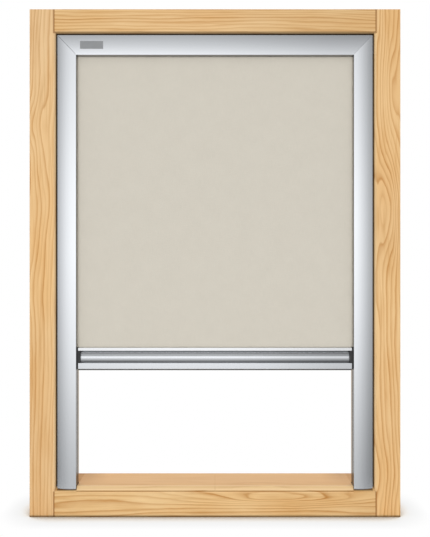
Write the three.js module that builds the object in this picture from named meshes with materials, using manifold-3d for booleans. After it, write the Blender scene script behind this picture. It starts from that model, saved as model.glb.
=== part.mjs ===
// Skylight window blind: a pine sash with a spring roller blind that runs in aluminium side guides.
// Millimetres. X points right, Y points back from the front face, Z points up.
// Inside the model, "depth" is measured back from the front face of the wood.

import * as THREE from 'three';
import { mergeVertices } from 'three/addons/utils/BufferGeometryUtils.js';
import Module from 'manifold-3d';

const wasm = await Module();
wasm.setup();

// Clearances
const fitGap = 0.3; // between pieces that touch
const slideGap = 0.5; // between pieces that slide past each other
const cutOverrun = 5; // how far a cutting solid runs past what it cuts

// Pine sash
const frameWidth = 660;
const frameHeight = 904;
const frameDepth = 94;
const stileWidth = 46.5;
const topRailHeight = 42.6;
const sillFaceHeight = 45.7; // front face of the bottom rail, up to its chamfer
const sillChamfer = 7.5;
const edgeChamfer = 3.5; // inner front edge of the stiles and the top rail
const rebateWidth = 12; // step for the pane, round the back
const rebateDepth = 14;
const tenonLength = 24;
const tenonThickness = 26;
const tenonHeight = 22;
const tenonDepth = 30; // front of the tenon, from the front face

// Cambered aluminium face that the side covers and the header share
const wall = 1.6;
const coverWidth = 34;
const coverEdgeGap = 2.5; // from the cover's outer edge to the stile
const coverEndGap = 2.2; // from the cover's lower end to the sill
const camberRadius = 110;
const camberApexInset = 23; // from the outer edge to the highest line of the face
const camberSteps = 10;

// Header casing
const headerHeight = 36;
const headerTopGap = 2.5; // from the casing to the top rail
const headerSlotWidth = 7.5; // slot under the casing, where the fabric comes out

// Side guides
const slotFront = 11; // depth where the fabric's slot starts
const slotWidth = 6;
const guideDepth = 24;
const chamberWidth = 15.4; // room for the guide shoe, behind the slot
const ribFront = 8;
const webFront = 10;
const webWall = 2.2; // the web on the stile, which the screws bear on
const coverLegDepth = 14.2;
const snapDepth = 11.8; // depth of the crest that holds the cover
const snapHalfWidth = 1;
const snapReach = 0.7;
const footThickness = 2;
const footPegHeight = 9;
const footPegInset = 2.4;

// Fabric and roller
const fabricThickness = 0.5;
const fabricTuck = 8; // how far the fabric's edge goes into the guide
const fabricWoundLength = 270; // on the roller in the photographed pose
const tubeRadius = 10;
const tubeWall = 1;
const tubeOverhang = 1;
const plugFlange = 2;
const plugLength = 20;
const idlePinRadius = 3;
const collarThickness = 3;
const collarRadius = 5.6;
const arborRadius = 4;
const arborLength = 150; // from the roller's right end inwards
const arborSquare = 6;
const springWireRadius = 0.6;
const springMeanRadius = 5.6;
const springCurls = 24;
const springPitch = 4;
const springCollarRadius = 7.6;
const springCollarThickness = 4;
const anchorThickness = 12;

// Header brackets
const bracketThickness = 3;
const hubRadius = 7;
const gussetThickness = 2.2;
const bracketCorner = 3;

// Bottom bar
const barRestHeight = 209.3; // above the sill, in the photographed pose
const barHeight = 38.6;
const barFront = 4.5;
const barDepth = 17.5;
const barEndGap = 2.5;
const barFloor = 4.4;
const barCorner = 1.3;
const upperLip = 5;
const grooveHeight = 22.2;
const grooveDepth = 8;
const hollowTop = 27.9;
const keyholeRadius = 2.6;
const keyholeDrop = 5.1; // from the bar's top to the keyhole's centre
const splineRadius = 1.9;
const headerStopGap = 2.2; // between the raised bar and the header

// Seal under the bar
const sealWidth = 12;
const sealThickness = 1.8;
const sealNeckWidth = 2.4;
const sealHeadWidth = 5.4;
const sealHeadThickness = 1.2;
const sealNeckHeight = 1.6;

// End plugs and guide shoes of the bar
const plugSpigot = 10;
const groovePlug = 4.5; // how much of the groove's end the plug fills
const groovePlugInset = 0.6;
const stemHeight = 5;
const stemRise = 1.5;
const stemLength = 14;
const shoeInset = 4.3; // from the bar's top and bottom to the shoe's
const shoeFront = 7;
const shoeBackGap = 1;
const shoeCorner = 1.4;
const padPocketInset = 3;
const padPocketDepth = 3.4;
const padThickness = 2.2;
const leafThickness = 0.4;
const leafSteps = 10;

// Screws
const railScrewRadius = 1.6;
const railScrewHeadRadius = 2.8;
const railScrewLength = 15;
const bracketScrewRadius = 1.8;
const bracketScrewHeadRadius = 3.2;
const bracketScrewLength = 20;
const screwHeadHeight = 1.8;
const screwPoint = 3;
const screwDepth = 18.4; // depth of the rail screws
const railScrewShares = [0.12, 0.5, 0.88]; // of the guide rail's length

// Facets
const circleSides = 24;
const grooveSides = 48;
const cornerSegments = 2;
const screwSides = 12;
const wireSides = 5;
const stepsPerCurl = 8;

// Places worked out from the sizes above
const frameHalf = frameWidth / 2;
const innerHalf = frameHalf - stileWidth;
const innerTop = frameHeight - topRailHeight;
const sillTop = sillFaceHeight + sillChamfer;
const rebateFront = frameDepth - rebateDepth;

const coverOuter = innerHalf - coverEdgeGap;
const coverInner = coverOuter - coverWidth;
const headerTop = innerTop - headerTopGap;
const headerBottom = headerTop - headerHeight;

const slotBack = slotFront + slotWidth;
const lipOuter = coverInner + wall;
const ribInner = lipOuter + chamberWidth;
const ribOuter = ribInner + wall;
const webOuter = innerHalf - fitGap;
const webInner = webOuter - webWall;
const guideBack = guideDepth - wall;
const guideBottom = sillTop + fitGap + footThickness + fitGap;
const guideTop = headerBottom - fitGap;

const fabricHalf = coverInner + fabricTuck;
const fabricFront = (slotFront + slotBack - fabricThickness) / 2;
const fabricBack = fabricFront + fabricThickness;
const fabricMiddle = (fabricFront + fabricBack) / 2;
const rollInner = tubeRadius + fitGap;
const rollRadius = Math.sqrt(rollInner ** 2 + (fabricWoundLength * fabricThickness) / Math.PI);
const rollerDepth = fabricBack + fitGap + rollRadius;
const rollerHeight = (headerTop + headerBottom) / 2;

const barBottom = sillTop + barRestHeight;
const barHalf = coverInner - barEndGap;
const barTravelUp = headerBottom - headerStopGap - barBottom - barHeight;
const fullRollRadius = Math.sqrt(rollRadius ** 2 + (barTravelUp * fabricThickness) / Math.PI);
const headerDepth = rollerDepth + fullRollRadius + slideGap + wall;

const sides = [
  { name: 'left', sign: -1 },
  { name: 'right', sign: 1 },
];

// Finishes
const finishes = {
  pine: { color: 0xe4bc8a, roughness: 0.5, metalness: 0 },
  aluminium: { color: 0xd9dcdf, roughness: 0.32, metalness: 1 },
  fabric: { color: 0xd0cabd, roughness: 0.9, metalness: 0 },
  darkPlastic: { color: 0x2c2c2d, roughness: 0.55, metalness: 0 },
  steel: { color: 0xb4b7ba, roughness: 0.35, metalness: 1 },
  felt: { color: 0x3b3b39, roughness: 0.95, metalness: 0 },
};

// Helpers that turn closed geometries into solids, and solids into named meshes

/** A closed geometry as a solid that can be joined and cut. */
function solidOf(geometry) {
  const bare = geometry.clone();
  bare.deleteAttribute('normal');
  bare.deleteAttribute('uv');
  const merged = mergeVertices(bare);
  const corners = merged.index.array;
  const triangles = [];
  for (let i = 0; i < corners.length; i += 3) {
    const [a, b, c] = corners.slice(i, i + 3);
    if (a !== b && b !== c && c !== a) {
      triangles.push(a, b, c);
    }
  }
  const mesh = new wasm.Mesh({
    numProp: 3,
    vertProperties: merged.attributes.position.array,
    triVerts: Uint32Array.from(triangles),
  });
  return new wasm.Manifold(mesh);
}

/** A named mesh of a solid, in one of the finishes. */
function piece(name, solid, finish) {
  const { vertProperties, triVerts } = solid.getMesh();
  const geometry = new THREE.BufferGeometry();
  geometry.setAttribute('position', new THREE.BufferAttribute(vertProperties, 3));
  geometry.setIndex(new THREE.BufferAttribute(triVerts, 1));
  geometry.computeVertexNormals();
  const mesh = new THREE.Mesh(geometry, new THREE.MeshStandardMaterial(finishes[finish]));
  mesh.name = name;
  return mesh;
}

/** A closed outline through corner points. */
function outline(points) {
  return new THREE.Shape(points.map(([a, b]) => new THREE.Vector2(a, b)));
}

/** A rectangle with rounded corners, between two opposite corners. */
function roundedRectangle([lowA, lowB], [highA, highB], radius) {
  const quarter = Math.PI / 2;
  const shape = new THREE.Shape();
  shape.absarc(highA - radius, lowB + radius, radius, -quarter, 0);
  shape.absarc(highA - radius, highB - radius, radius, 0, quarter);
  shape.absarc(lowA + radius, highB - radius, radius, quarter, 2 * quarter);
  shape.absarc(lowA + radius, lowB + radius, radius, 2 * quarter, 3 * quarter);
  return shape;
}

/** A regular polygon that stands for a circle. */
function disc([a, b], radius, count = circleSides) {
  const points = [];
  for (let i = 0; i < count; i += 1) {
    const turn = (2 * Math.PI * i) / count;
    points.push([a + radius * Math.cos(turn), b + radius * Math.sin(turn)]);
  }
  return outline(points);
}

function extruded(shape, length) {
  const options = { depth: length, bevelEnabled: false, curveSegments: cornerSegments };
  return new THREE.ExtrudeGeometry(shape, options);
}

/** A section drawn in (x, depth), extruded between two heights. */
function alongZ(shape, low, high) {
  return solidOf(extruded(shape, high - low).translate(0, 0, low));
}

/** A section drawn in (depth, height), extruded between two values of x, in either order. */
function alongX(shape, from, to) {
  const low = Math.min(from, to);
  const turn = new THREE.Matrix4().makeBasis(
    new THREE.Vector3(0, 1, 0),
    new THREE.Vector3(0, 0, 1),
    new THREE.Vector3(1, 0, 0),
  );
  return solidOf(extruded(shape, Math.abs(to - from)).applyMatrix4(turn).translate(low, 0, 0));
}

/** A section drawn in (x, height), extruded between two depths. */
function alongY(shape, front, back) {
  return solidOf(extruded(shape, back - front).rotateX(Math.PI / 2).translate(0, back, 0));
}

/** A block between two values of x, in either order, two depths and two heights. */
function block([fromX, toX], [front, back], [low, high]) {
  return alongZ(
    outline([
      [fromX, front],
      [toX, front],
      [toX, back],
      [fromX, back],
    ]),
    low,
    high,
  );
}

/** A turned solid on the X axis, from a closed profile of (x, radius) points, drawn for the right side. */
function turned(profile, sign, count = circleSides) {
  const points = profile.map(([x, radius]) => new THREE.Vector2(radius, x));
  const lathe = new THREE.LatheGeometry(points, count);
  return solidOf(lathe.rotateZ((-sign * Math.PI) / 2));
}

// Pine sash

/** A stile's section on one side. */
function stileSection(sign) {
  return outline(
    [
      [innerHalf + edgeChamfer, 0],
      [frameHalf, 0],
      [frameHalf, frameDepth],
      [innerHalf + rebateWidth, frameDepth],
      [innerHalf + rebateWidth, rebateFront],
      [innerHalf, rebateFront],
      [innerHalf, edgeChamfer],
    ].map(([x, depth]) => [sign * x, depth]),
  );
}

/** What the stile takes from a rail's end: its section grown by the fit gap, so that the rail is coped over it. */
function stileCut(sign) {
  const slant = fitGap * Math.SQRT2;
  return alongZ(
    outline(
      [
        [innerHalf + edgeChamfer - slant + cutOverrun, -cutOverrun],
        [frameHalf + cutOverrun, -cutOverrun],
        [frameHalf + cutOverrun, frameDepth + cutOverrun],
        [innerHalf + rebateWidth - fitGap, frameDepth + cutOverrun],
        [innerHalf + rebateWidth - fitGap, rebateFront + fitGap],
        [innerHalf - fitGap, rebateFront + fitGap],
        [innerHalf - fitGap, edgeChamfer - slant + fitGap],
      ].map(([x, depth]) => [sign * x, depth]),
    ),
    -cutOverrun,
    frameHeight + cutOverrun,
  );
}

const topTenonLow = innerTop + (topRailHeight - tenonHeight) / 2;
const bottomTenonLow = (sillTop - rebateWidth - tenonHeight) / 2;

/** A rail's tenon on one side, or its mortise when it is grown. */
function tenon(sign, low, grow) {
  return block(
    [sign * (innerHalf - tenonLength), sign * (innerHalf + tenonLength + grow)],
    [tenonDepth - grow, tenonDepth + tenonThickness + grow],
    [low - grow, low + tenonHeight + grow],
  );
}

function rail(section, tenonLow) {
  let solid = alongX(section, -frameHalf, frameHalf);
  for (const { sign } of sides) {
    solid = solid.subtract(stileCut(sign)).add(tenon(sign, tenonLow, 0));
  }
  return solid;
}

const topRailSection = outline([
  [0, innerTop + edgeChamfer],
  [edgeChamfer, innerTop],
  [rebateFront, innerTop],
  [rebateFront, innerTop + rebateWidth],
  [frameDepth, innerTop + rebateWidth],
  [frameDepth, frameHeight],
  [0, frameHeight],
]);

/** The bottom rail's section with its sloped front edge, or the same grown to cut what stands on it. */
function sillSection(grow) {
  const slant = grow * Math.SQRT2;
  return outline([
    [-grow, -grow],
    [frameDepth + grow, -grow],
    [frameDepth + grow, sillTop - rebateWidth + grow],
    [rebateFront + grow, sillTop - rebateWidth + grow],
    [rebateFront + grow, sillTop + grow],
    [sillChamfer - slant + grow, sillTop + grow],
    [-grow, sillFaceHeight + slant - grow],
  ]);
}

// Screws, turned on the X axis, with the underside of the head at x = 0

function screw(radius, headRadius, length, sign) {
  const shoulder = headRadius - screwHeadHeight / 2;
  return turned(
    [
      [length, 0],
      [length - screwPoint, radius],
      [0, radius],
      [0, headRadius],
      [-screwHeadHeight / 2, headRadius],
      [-screwHeadHeight, shoulder],
      [-screwHeadHeight, 0],
    ].reverse(),
    sign,
    screwSides,
  );
}

/** The hole for a screw, through what it holds and into the stile. */
function screwHole(radius, length, [x, depth, height], sign) {
  return alongX(
    disc([depth, height], radius + fitGap, screwSides),
    sign * (x - cutOverrun),
    sign * (x + length + fitGap),
  );
}

const railScrewX = webInner - fitGap;
const bracketPlateInner = webOuter - bracketThickness;
const bracketScrewX = bracketPlateInner - fitGap;

const bracketScrewSpread = hubRadius + bracketScrewHeadRadius + slideGap; // from the roller's axis

/** Where the screws of one side go: each one's x, depth and height. */
const railScrewPlaces = railScrewShares.map((share) => [
  railScrewX,
  screwDepth,
  guideBottom + share * (guideTop - guideBottom),
]);
const bracketScrewPlaces = [
  [bracketScrewX, rollerDepth - bracketScrewSpread, rollerHeight],
  [bracketScrewX, rollerDepth + bracketScrewSpread, rollerHeight],
];

function stile(sign) {
  let solid = alongZ(stileSection(sign), 0, frameHeight);
  solid = solid.subtract(tenon(sign, topTenonLow, fitGap));
  solid = solid.subtract(tenon(sign, bottomTenonLow, fitGap));
  for (const place of railScrewPlaces) {
    solid = solid.subtract(screwHole(railScrewRadius, railScrewLength, place, sign));
  }
  for (const place of bracketScrewPlaces) {
    solid = solid.subtract(screwHole(bracketScrewRadius, bracketScrewLength, place, sign));
  }
  return solid;
}

// Cambered face, mitred where a side cover meets the header

/** The depth of the face at a share of its width from the outer edge: a shallow arc. */
function camber(share) {
  const along = share * coverWidth - camberApexInset;
  return camberRadius - Math.sqrt(camberRadius ** 2 - along ** 2);
}

/** Points of the face from its outer to its inner edge, lowered by a distance. */
function camberPoints(lowered) {
  const points = [];
  for (let i = 0; i <= camberSteps; i += 1) {
    points.push([i / camberSteps, camber(i / camberSteps) + lowered]);
  }
  return points;
}

/** The corner outside or inside the mitre, which runs from the inner to the outer corner of the face. */
function mitreCut(sign, keepsCover) {
  const rise = headerHeight / coverWidth;
  const shift = ((keepsCover ? 1 : -1) * fitGap * Math.hypot(1, rise)) / 2 / rise;
  const lowX = coverInner - cutOverrun;
  const highX = coverOuter + cutOverrun;
  const lowZ = headerBottom - cutOverrun * rise;
  const highZ = headerTop + cutOverrun * rise;
  const corner = keepsCover ? [lowX + shift, highZ] : [highX + shift, lowZ];
  return alongY(
    outline(
      [[lowX + shift, lowZ], [highX + shift, highZ], corner].map(([x, z]) => [sign * x, z]),
    ),
    -cutOverrun,
    headerDepth + cutOverrun,
  );
}

/** One leg of the side cover, from the face back, with a crest that snaps into the guide rail. */
function coverLeg(sign, near, away) {
  const far = near + away * wall;
  const crest = near - away * snapReach;
  const root = camber((coverOuter - near) / coverWidth) + wall / 2;
  return alongZ(
    outline(
      [
        [near, root],
        [near, snapDepth - snapHalfWidth],
        [crest, snapDepth],
        [near, snapDepth + snapHalfWidth],
        [near, coverLegDepth],
        [far, coverLegDepth],
        [far, root],
      ].map(([x, depth]) => [sign * x, depth]),
    ),
    guideBottom,
    guideTop,
  );
}

function sideCover(sign) {
  const place = ([share, depth]) => [sign * (coverOuter - share * coverWidth), depth];
  const face = [...camberPoints(0), ...camberPoints(wall).reverse()].map(place);
  const sill = alongX(sillSection(coverEndGap), sign * coverInner - cutOverrun * sign, sign * innerHalf);
  const innerLeg = block(
    [sign * coverInner, sign * lipOuter],
    [camber(1) + wall / 2, slotFront],
    [guideBottom, guideTop],
  );
  return alongZ(outline(face), 0, headerTop)
    .subtract(sill)
    .subtract(mitreCut(sign, true))
    .add(coverLeg(sign, webInner - fitGap, -1))
    .add(coverLeg(sign, ribOuter + fitGap, 1))
    .add(innerLeg);
}

/** What a side cover's face takes from the end of the header. */
function coverFaceCut(sign) {
  const back = camberPoints(wall + fitGap).reverse();
  const points = [
    [-cutOverrun / coverWidth, back[back.length - 1][1]],
    [-cutOverrun / coverWidth, -cutOverrun],
    [1 + fitGap / coverWidth, -cutOverrun],
    [1 + fitGap / coverWidth, back[0][1]],
    ...back,
  ];
  const place = ([share, depth]) => [sign * (coverOuter - share * coverWidth), depth];
  const around = alongZ(outline(points.map(place)), 0, frameHeight);
  return around.intersect(mitreCut(sign, false));
}

function headerCasing() {
  const face = camberPoints(0).map(([share, depth]) => [depth, headerTop - share * headerHeight]);
  const lining = camberPoints(wall)
    .map(([share, depth]) => [depth, headerTop - share * headerHeight])
    .filter(([, height]) => height < headerTop - wall && height > headerBottom + wall);
  const slotNear = fabricMiddle - headerSlotWidth / 2;
  const slotFar = fabricMiddle + headerSlotWidth / 2;
  const back = headerDepth - wall;
  const section = outline([
    ...face,
    [slotNear, headerBottom],
    [slotNear, headerBottom + wall],
    [camber(1) + wall, headerBottom + wall],
    ...lining.reverse(),
    [camber(0) + wall, headerTop - wall],
    [back, headerTop - wall],
    [back, headerBottom + wall],
    [slotFar, headerBottom + wall],
    [slotFar, headerBottom],
    [headerDepth, headerBottom],
    [headerDepth, headerTop],
  ]);
  let solid = alongX(section, -coverOuter, coverOuter);
  for (const { sign } of sides) {
    solid = solid.subtract(coverFaceCut(sign));
  }
  return solid;
}

// Side guides

/** The guide rail's section: a web on the stile, a rib and an inner lip, with the grooves that hold the cover. */
function guideRail(sign) {
  const groove = (face, away) => [
    [face, snapDepth - snapHalfWidth],
    [face - away * snapReach, snapDepth],
    [face, snapDepth + snapHalfWidth],
  ];
  const section = [
    [webOuter, webFront],
    [webOuter, guideDepth],
    [coverInner, guideDepth],
    [coverInner, slotBack],
    [lipOuter, slotBack],
    [lipOuter, guideBack],
    [ribInner, guideBack],
    [ribInner, ribFront],
    [ribOuter, ribFront],
    ...groove(ribOuter, 1),
    [ribOuter, guideBack],
    [webInner, guideBack],
    ...groove(webInner, -1).reverse(),
    [webInner, webFront],
  ];
  let solid = alongZ(outline(section.map(([x, depth]) => [sign * x, depth])), guideBottom, guideTop);
  for (const place of railScrewPlaces) {
    solid = solid.subtract(screwHole(railScrewRadius, railScrewLength, place, sign));
  }
  return solid;
}

/** The foot under a guide rail, with a peg up into the screw channel. */
function guideFoot(sign) {
  const top = sillTop + fitGap + footThickness;
  const front = camber(0) + wall + fitGap;
  const plate = block([sign * coverInner, sign * webOuter], [front, guideDepth], [sillTop + fitGap, top]);
  const pegFront = coverLegDepth + fitGap;
  const peg = block(
    [sign * (ribOuter + footPegInset), sign * (webInner - footPegInset)],
    [pegFront, guideBack - fitGap],
    [top - footThickness / 2, top + footPegHeight],
  );
  return plate.add(peg);
}

// Header brackets, which hold the roller at its ends

const tubeEnd = fabricHalf + tubeOverhang;
const flangeInner = tubeEnd + fitGap;
const flangeOuter = flangeInner + plugFlange;
const collarInner = flangeOuter + fitGap;
const collarOuter = collarInner + collarThickness;
const hubInner = collarOuter + fitGap;
const shaftEnd = webOuter - fitGap;

/** A bracket on one side: a plate on the stile, a hub on the roller's axis and two gussets. */
function headerBracket(sign, socket) {
  const plateFront = camber(0) + wall + fitGap;
  const plateLow = headerBottom + wall + fitGap;
  const plateHigh = headerTop - wall - fitGap;
  const plate = roundedRectangle(
    [plateFront, plateLow],
    [headerDepth - wall - fitGap, plateHigh],
    bracketCorner,
  );
  const hub = disc([rollerDepth, rollerHeight], hubRadius);
  const gusset = outline(
    [
      [hubInner, rollerHeight],
      [bracketPlateInner + bracketThickness / 2, plateLow + bracketCorner],
      [bracketPlateInner + bracketThickness / 2, plateHigh - bracketCorner],
    ].map(([x, height]) => [sign * x, height]),
  );
  let solid = alongX(plate, sign * bracketPlateInner, sign * webOuter)
    .add(alongX(hub, sign * hubInner, sign * (webOuter - bracketThickness / 2)))
    .add(alongY(gusset, rollerDepth - gussetThickness / 2, rollerDepth + gussetThickness / 2))
    .subtract(alongX(socket, sign * (hubInner - cutOverrun), sign * (webOuter + cutOverrun)));
  for (const place of bracketScrewPlaces) {
    solid = solid.subtract(screwHole(bracketScrewRadius, bracketScrewLength, place, sign));
  }
  return solid;
}

// Roller, drawn on its own axis and placed by its group

const tubeInner = tubeRadius - tubeWall;
const plugRadius = tubeInner - fitGap;

/** A ring on the X axis between two values of x. */
function ring(inner, outer, low, high) {
  return turned(
    [
      [low, inner],
      [low, outer],
      [high, outer],
      [high, inner],
      [low, inner],
    ],
    1,
  );
}

/** A plug in the tube's end: a spigot and a flange, round a bore. */
function tubePlug(sign, bore) {
  const spigotEnd = flangeInner - plugLength;
  return turned(
    [
      [spigotEnd, bore],
      [spigotEnd, plugRadius],
      [flangeInner, plugRadius],
      [flangeInner, rollRadius],
      [flangeOuter, rollRadius],
      [flangeOuter, bore],
      [spigotEnd, bore],
    ],
    sign,
  );
}

/** The fixed pin that the roller's left end turns on. */
function idlePin(sign) {
  const tip = flangeInner - plugLength + slideGap;
  return turned(
    [
      [tip, 0],
      [tip, idlePinRadius],
      [collarInner, idlePinRadius],
      [collarInner, collarRadius],
      [collarOuter, collarRadius],
      [collarOuter, idlePinRadius],
      [shaftEnd, idlePinRadius],
      [shaftEnd, 0],
    ],
    sign,
  );
}

const arborTip = flangeInner - arborLength;
const anchorInner = arborTip + slideGap;
const springLow = anchorInner + anchorThickness + fitGap + springWireRadius;
const springHigh = springLow + springCurls * springPitch;
const springCollarInner = springHigh + springWireRadius + fitGap;

/** The fixed rod inside the spring, with a collar for the spring's end and a square end for the bracket. */
function springArbor() {
  const rod = turned(
    [
      [arborTip, 0],
      [arborTip, arborRadius],
      [springCollarInner, arborRadius],
      [springCollarInner, springCollarRadius],
      [springCollarInner + springCollarThickness, springCollarRadius],
      [springCollarInner + springCollarThickness, arborRadius],
      [collarInner, arborRadius],
      [collarInner, collarRadius],
      [collarOuter, collarRadius],
      [collarOuter, 0],
    ],
    1,
  );
  const half = arborSquare / 2;
  return rod.add(block([collarOuter - collarThickness / 2, shaftEnd], [-half, half], [-half, half]));
}

/** The wire's centre line: a helix round the X axis. */
class SpringLine extends THREE.Curve {
  getPoint(share, target = new THREE.Vector3()) {
    const turn = 2 * Math.PI * springCurls * share;
    const x = springLow + share * (springHigh - springLow);
    return target.set(x, springMeanRadius * Math.cos(turn), springMeanRadius * Math.sin(turn));
  }
}

function rollerSpring() {
  const section = disc([0, 0], springWireRadius, wireSides);
  const path = new SpringLine();
  const steps = springCurls * stepsPerCurl;
  const geometry = new THREE.ExtrudeGeometry(section, { steps, extrudePath: path, bevelEnabled: false });
  const points = path.getPoints(steps);
  let nearest = Infinity;
  for (let i = 0; i + stepsPerCurl / 2 < points.length; i += 1) {
    for (let j = i + stepsPerCurl / 2; j < points.length; j += 1) {
      nearest = Math.min(nearest, points[i].distanceTo(points[j]));
    }
  }
  const gap = nearest - 2 * springWireRadius;
  console.log(`roller_spring: least gap between its curls ${gap.toFixed(2)} mm`);
  return solidOf(geometry);
}

// Bottom bar, drawn with its bottom at height 0 and placed by its group

const grooveTop = barHeight - upperLip;
const grooveMiddle = grooveTop - grooveHeight / 2;
const grooveRadius = (grooveHeight ** 2 / 4 + grooveDepth ** 2) / (2 * grooveDepth);
const grooveCentre = [barFront + grooveDepth - grooveRadius, grooveMiddle];
const barBack = barFront + barDepth;
const keyholeCentre = [fabricMiddle, barHeight - keyholeDrop];

function alongBar(shape, inset = 0) {
  return alongX(shape, inset - barHalf, barHalf - inset);
}

/** The hollow behind the groove, between two values of x, or what fits in it when it is drawn in. */
function barHollow(from, to, inset) {
  const low = [barFront + wall + inset, barFloor + inset];
  const high = [barBack - wall - inset, hollowTop - inset];
  const space = alongX(outline([low, [high[0], low[1]], high, [low[0], high[1]]]), from, to);
  return space.subtract(alongX(disc(grooveCentre, grooveRadius + wall + inset, grooveSides), from, to));
}

/** The seal's section, a strip with a T-shaped bead, grown where it cuts the bar. */
function sealSection(grow) {
  const neck = sealNeckWidth / 2 + grow;
  const head = sealHeadWidth / 2 + grow;
  const foot = sealWidth / 2 + grow;
  const middle = (barFront + barBack) / 2;
  const headLow = sealNeckHeight - fitGap - grow;
  const headHigh = sealNeckHeight - fitGap + sealHeadThickness + grow;
  const footHigh = grow - fitGap;
  const footLow = footHigh - sealThickness - grow;
  return outline(
    [
      [-foot, footLow],
      [foot, footLow],
      [foot, footHigh],
      [neck, footHigh],
      [neck, headLow],
      [head, headLow],
      [head, headHigh],
      [-head, headHigh],
      [-head, headLow],
      [-neck, headLow],
      [-neck, footHigh],
      [-foot, footHigh],
    ].map(([depth, height]) => [middle + depth, height]),
  );
}

function bottomBar() {
  const slotHalf = fabricThickness / 2 + fitGap;
  const slot = outline([
    [fabricMiddle - slotHalf, keyholeCentre[1]],
    [fabricMiddle + slotHalf, keyholeCentre[1]],
    [fabricMiddle + slotHalf, barHeight + cutOverrun],
    [fabricMiddle - slotHalf, barHeight + cutOverrun],
  ]);
  const body = alongBar(roundedRectangle([barFront, 0], [barBack, barHeight], barCorner));
  const reach = barHalf + cutOverrun;
  return body
    .subtract(alongBar(disc(grooveCentre, grooveRadius, grooveSides), -cutOverrun))
    .subtract(barHollow(-reach, reach, 0))
    .subtract(alongBar(disc(keyholeCentre, keyholeRadius), -cutOverrun))
    .subtract(alongBar(slot, -cutOverrun))
    .subtract(alongBar(sealSection(fitGap), -cutOverrun));
}

/** The panel of fabric from the roller to the bar, with a narrower hem that goes into the keyhole. */
function blindFabric() {
  const hemHalf = barHalf - fitGap;
  const hemLow = barBottom + keyholeCentre[1] + splineRadius + fitGap;
  const panelLow = barBottom + barHeight + fitGap;
  return alongY(
    outline([
      [-hemHalf, hemLow],
      [hemHalf, hemLow],
      [hemHalf, panelLow],
      [fabricHalf, panelLow],
      [fabricHalf, rollerHeight],
      [-fabricHalf, rollerHeight],
      [-fabricHalf, panelLow],
      [-hemHalf, panelLow],
    ]),
    fabricFront,
    fabricBack,
  );
}

// End plugs and guide shoes of the bar, in the bar's own group

const plugFlangeInner = barHalf + fitGap;
const plugFlangeOuter = coverInner - slideGap;
const stemFront = slotFront + slideGap + fitGap;
const stemBack = slotBack - slideGap - fitGap;
const stemLow = barFloor + fitGap + stemRise;

/** The shoe's stem, or the socket for it when it is grown. */
function stem(sign, grow) {
  return block(
    [sign * (plugFlangeOuter - stemLength - grow), sign * (plugFlangeOuter + slideGap)],
    [stemFront - grow, stemBack + grow],
    [stemLow - grow, stemLow + stemHeight + grow],
  );
}

function barPlug(sign) {
  const cover = roundedRectangle([barFront, 0], [barBack, barHeight], barCorner);
  const fillerFront = barFront + groovePlugInset;
  const fillerSpan = [grooveMiddle - grooveHeight / 2, grooveMiddle + grooveHeight / 2];
  const inner = sign * (barHalf - groovePlug);
  const filler = alongX(disc(grooveCentre, grooveRadius - fitGap, grooveSides), inner, sign * plugFlangeOuter)
    .intersect(block([inner, sign * plugFlangeOuter], [fillerFront, barBack], fillerSpan));
  return alongX(cover, sign * plugFlangeInner, sign * plugFlangeOuter)
    .add(barHollow(sign * (barHalf - plugSpigot), sign * (plugFlangeOuter - fitGap), fitGap))
    .add(filler)
    .subtract(stem(sign, fitGap));
}

const shoeInner = lipOuter + slideGap;
const shoeOuter = ribInner - slideGap;
const shoeBack = guideBack - shoeBackGap;
const shoeLow = shoeInset;
const shoeHigh = barHeight - shoeInset;
const pocketFloor = shoeBack - padPocketDepth;
const padFront = guideBack - fitGap - padThickness;

/** A block in the shoe's pocket, drawn in from the pocket's sides. */
function inPocket(sign, inset, front, back) {
  const margin = padPocketInset + inset;
  return block(
    [sign * (shoeInner + margin), sign * (shoeOuter - margin)],
    [front, back],
    [shoeLow + margin, shoeHigh - margin],
  );
}

/** The shoe that runs in the guide rail: a rounded head, a tongue through the slot and a stem into the plug. */
function guideShoe(sign) {
  const across = [sign * shoeInner, sign * shoeOuter].sort((a, b) => a - b);
  const plan = roundedRectangle([across[0], shoeFront], [across[1], shoeBack], shoeCorner);
  const profile = roundedRectangle([shoeFront, shoeLow], [shoeBack, shoeHigh], shoeCorner);
  const head = alongZ(plan, shoeLow, shoeHigh).intersect(alongX(profile, ...across));
  const tongue = block(
    [sign * (plugFlangeOuter + fitGap), sign * (shoeInner + slideGap)],
    [slotFront + slideGap, slotBack - slideGap],
    [shoeLow + shoeCorner, shoeHigh - shoeCorner],
  );
  return head.add(tongue).add(stem(sign, 0)).subtract(inPocket(sign, 0, pocketFloor, guideDepth));
}

/** The bowed leaf between the pocket's floor and the pad: a thin strip along a half wave. */
function padSpring(sign) {
  const low = shoeLow + padPocketInset + slideGap;
  const high = shoeHigh - padPocketInset - slideGap;
  const base = pocketFloor + fitGap;
  const rise = padFront - fitGap - leafThickness - base;
  const line = [];
  for (let i = 0; i <= leafSteps; i += 1) {
    const share = i / leafSteps;
    line.push([base + rise * Math.sin(Math.PI * share), low + share * (high - low)]);
  }
  const back = line.map(([depth, height]) => [depth + leafThickness, height]).reverse();
  const margin = padPocketInset + slideGap;
  return alongX(outline([...line, ...back]), sign * (shoeInner + margin), sign * (shoeOuter - margin));
}

// Assembly

const blind = new THREE.Group();
const frontFace = new THREE.Group(); // depths count from here
frontFace.position.y = -frameDepth / 2;
blind.add(frontFace);

const sash = new THREE.Group();
const guides = new THREE.Group();
const header = new THREE.Group();
const roller = new THREE.Group();
roller.position.set(0, rollerDepth, rollerHeight);
const bar = new THREE.Group();
bar.position.z = barBottom;
frontFace.add(sash, guides, header, roller, bar);

sash.add(piece('top_rail', rail(topRailSection, topTenonLow), 'pine'));
sash.add(piece('bottom_rail', rail(sillSection(0), bottomTenonLow), 'pine'));
header.add(piece('header_casing', headerCasing(), 'aluminium'));

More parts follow.
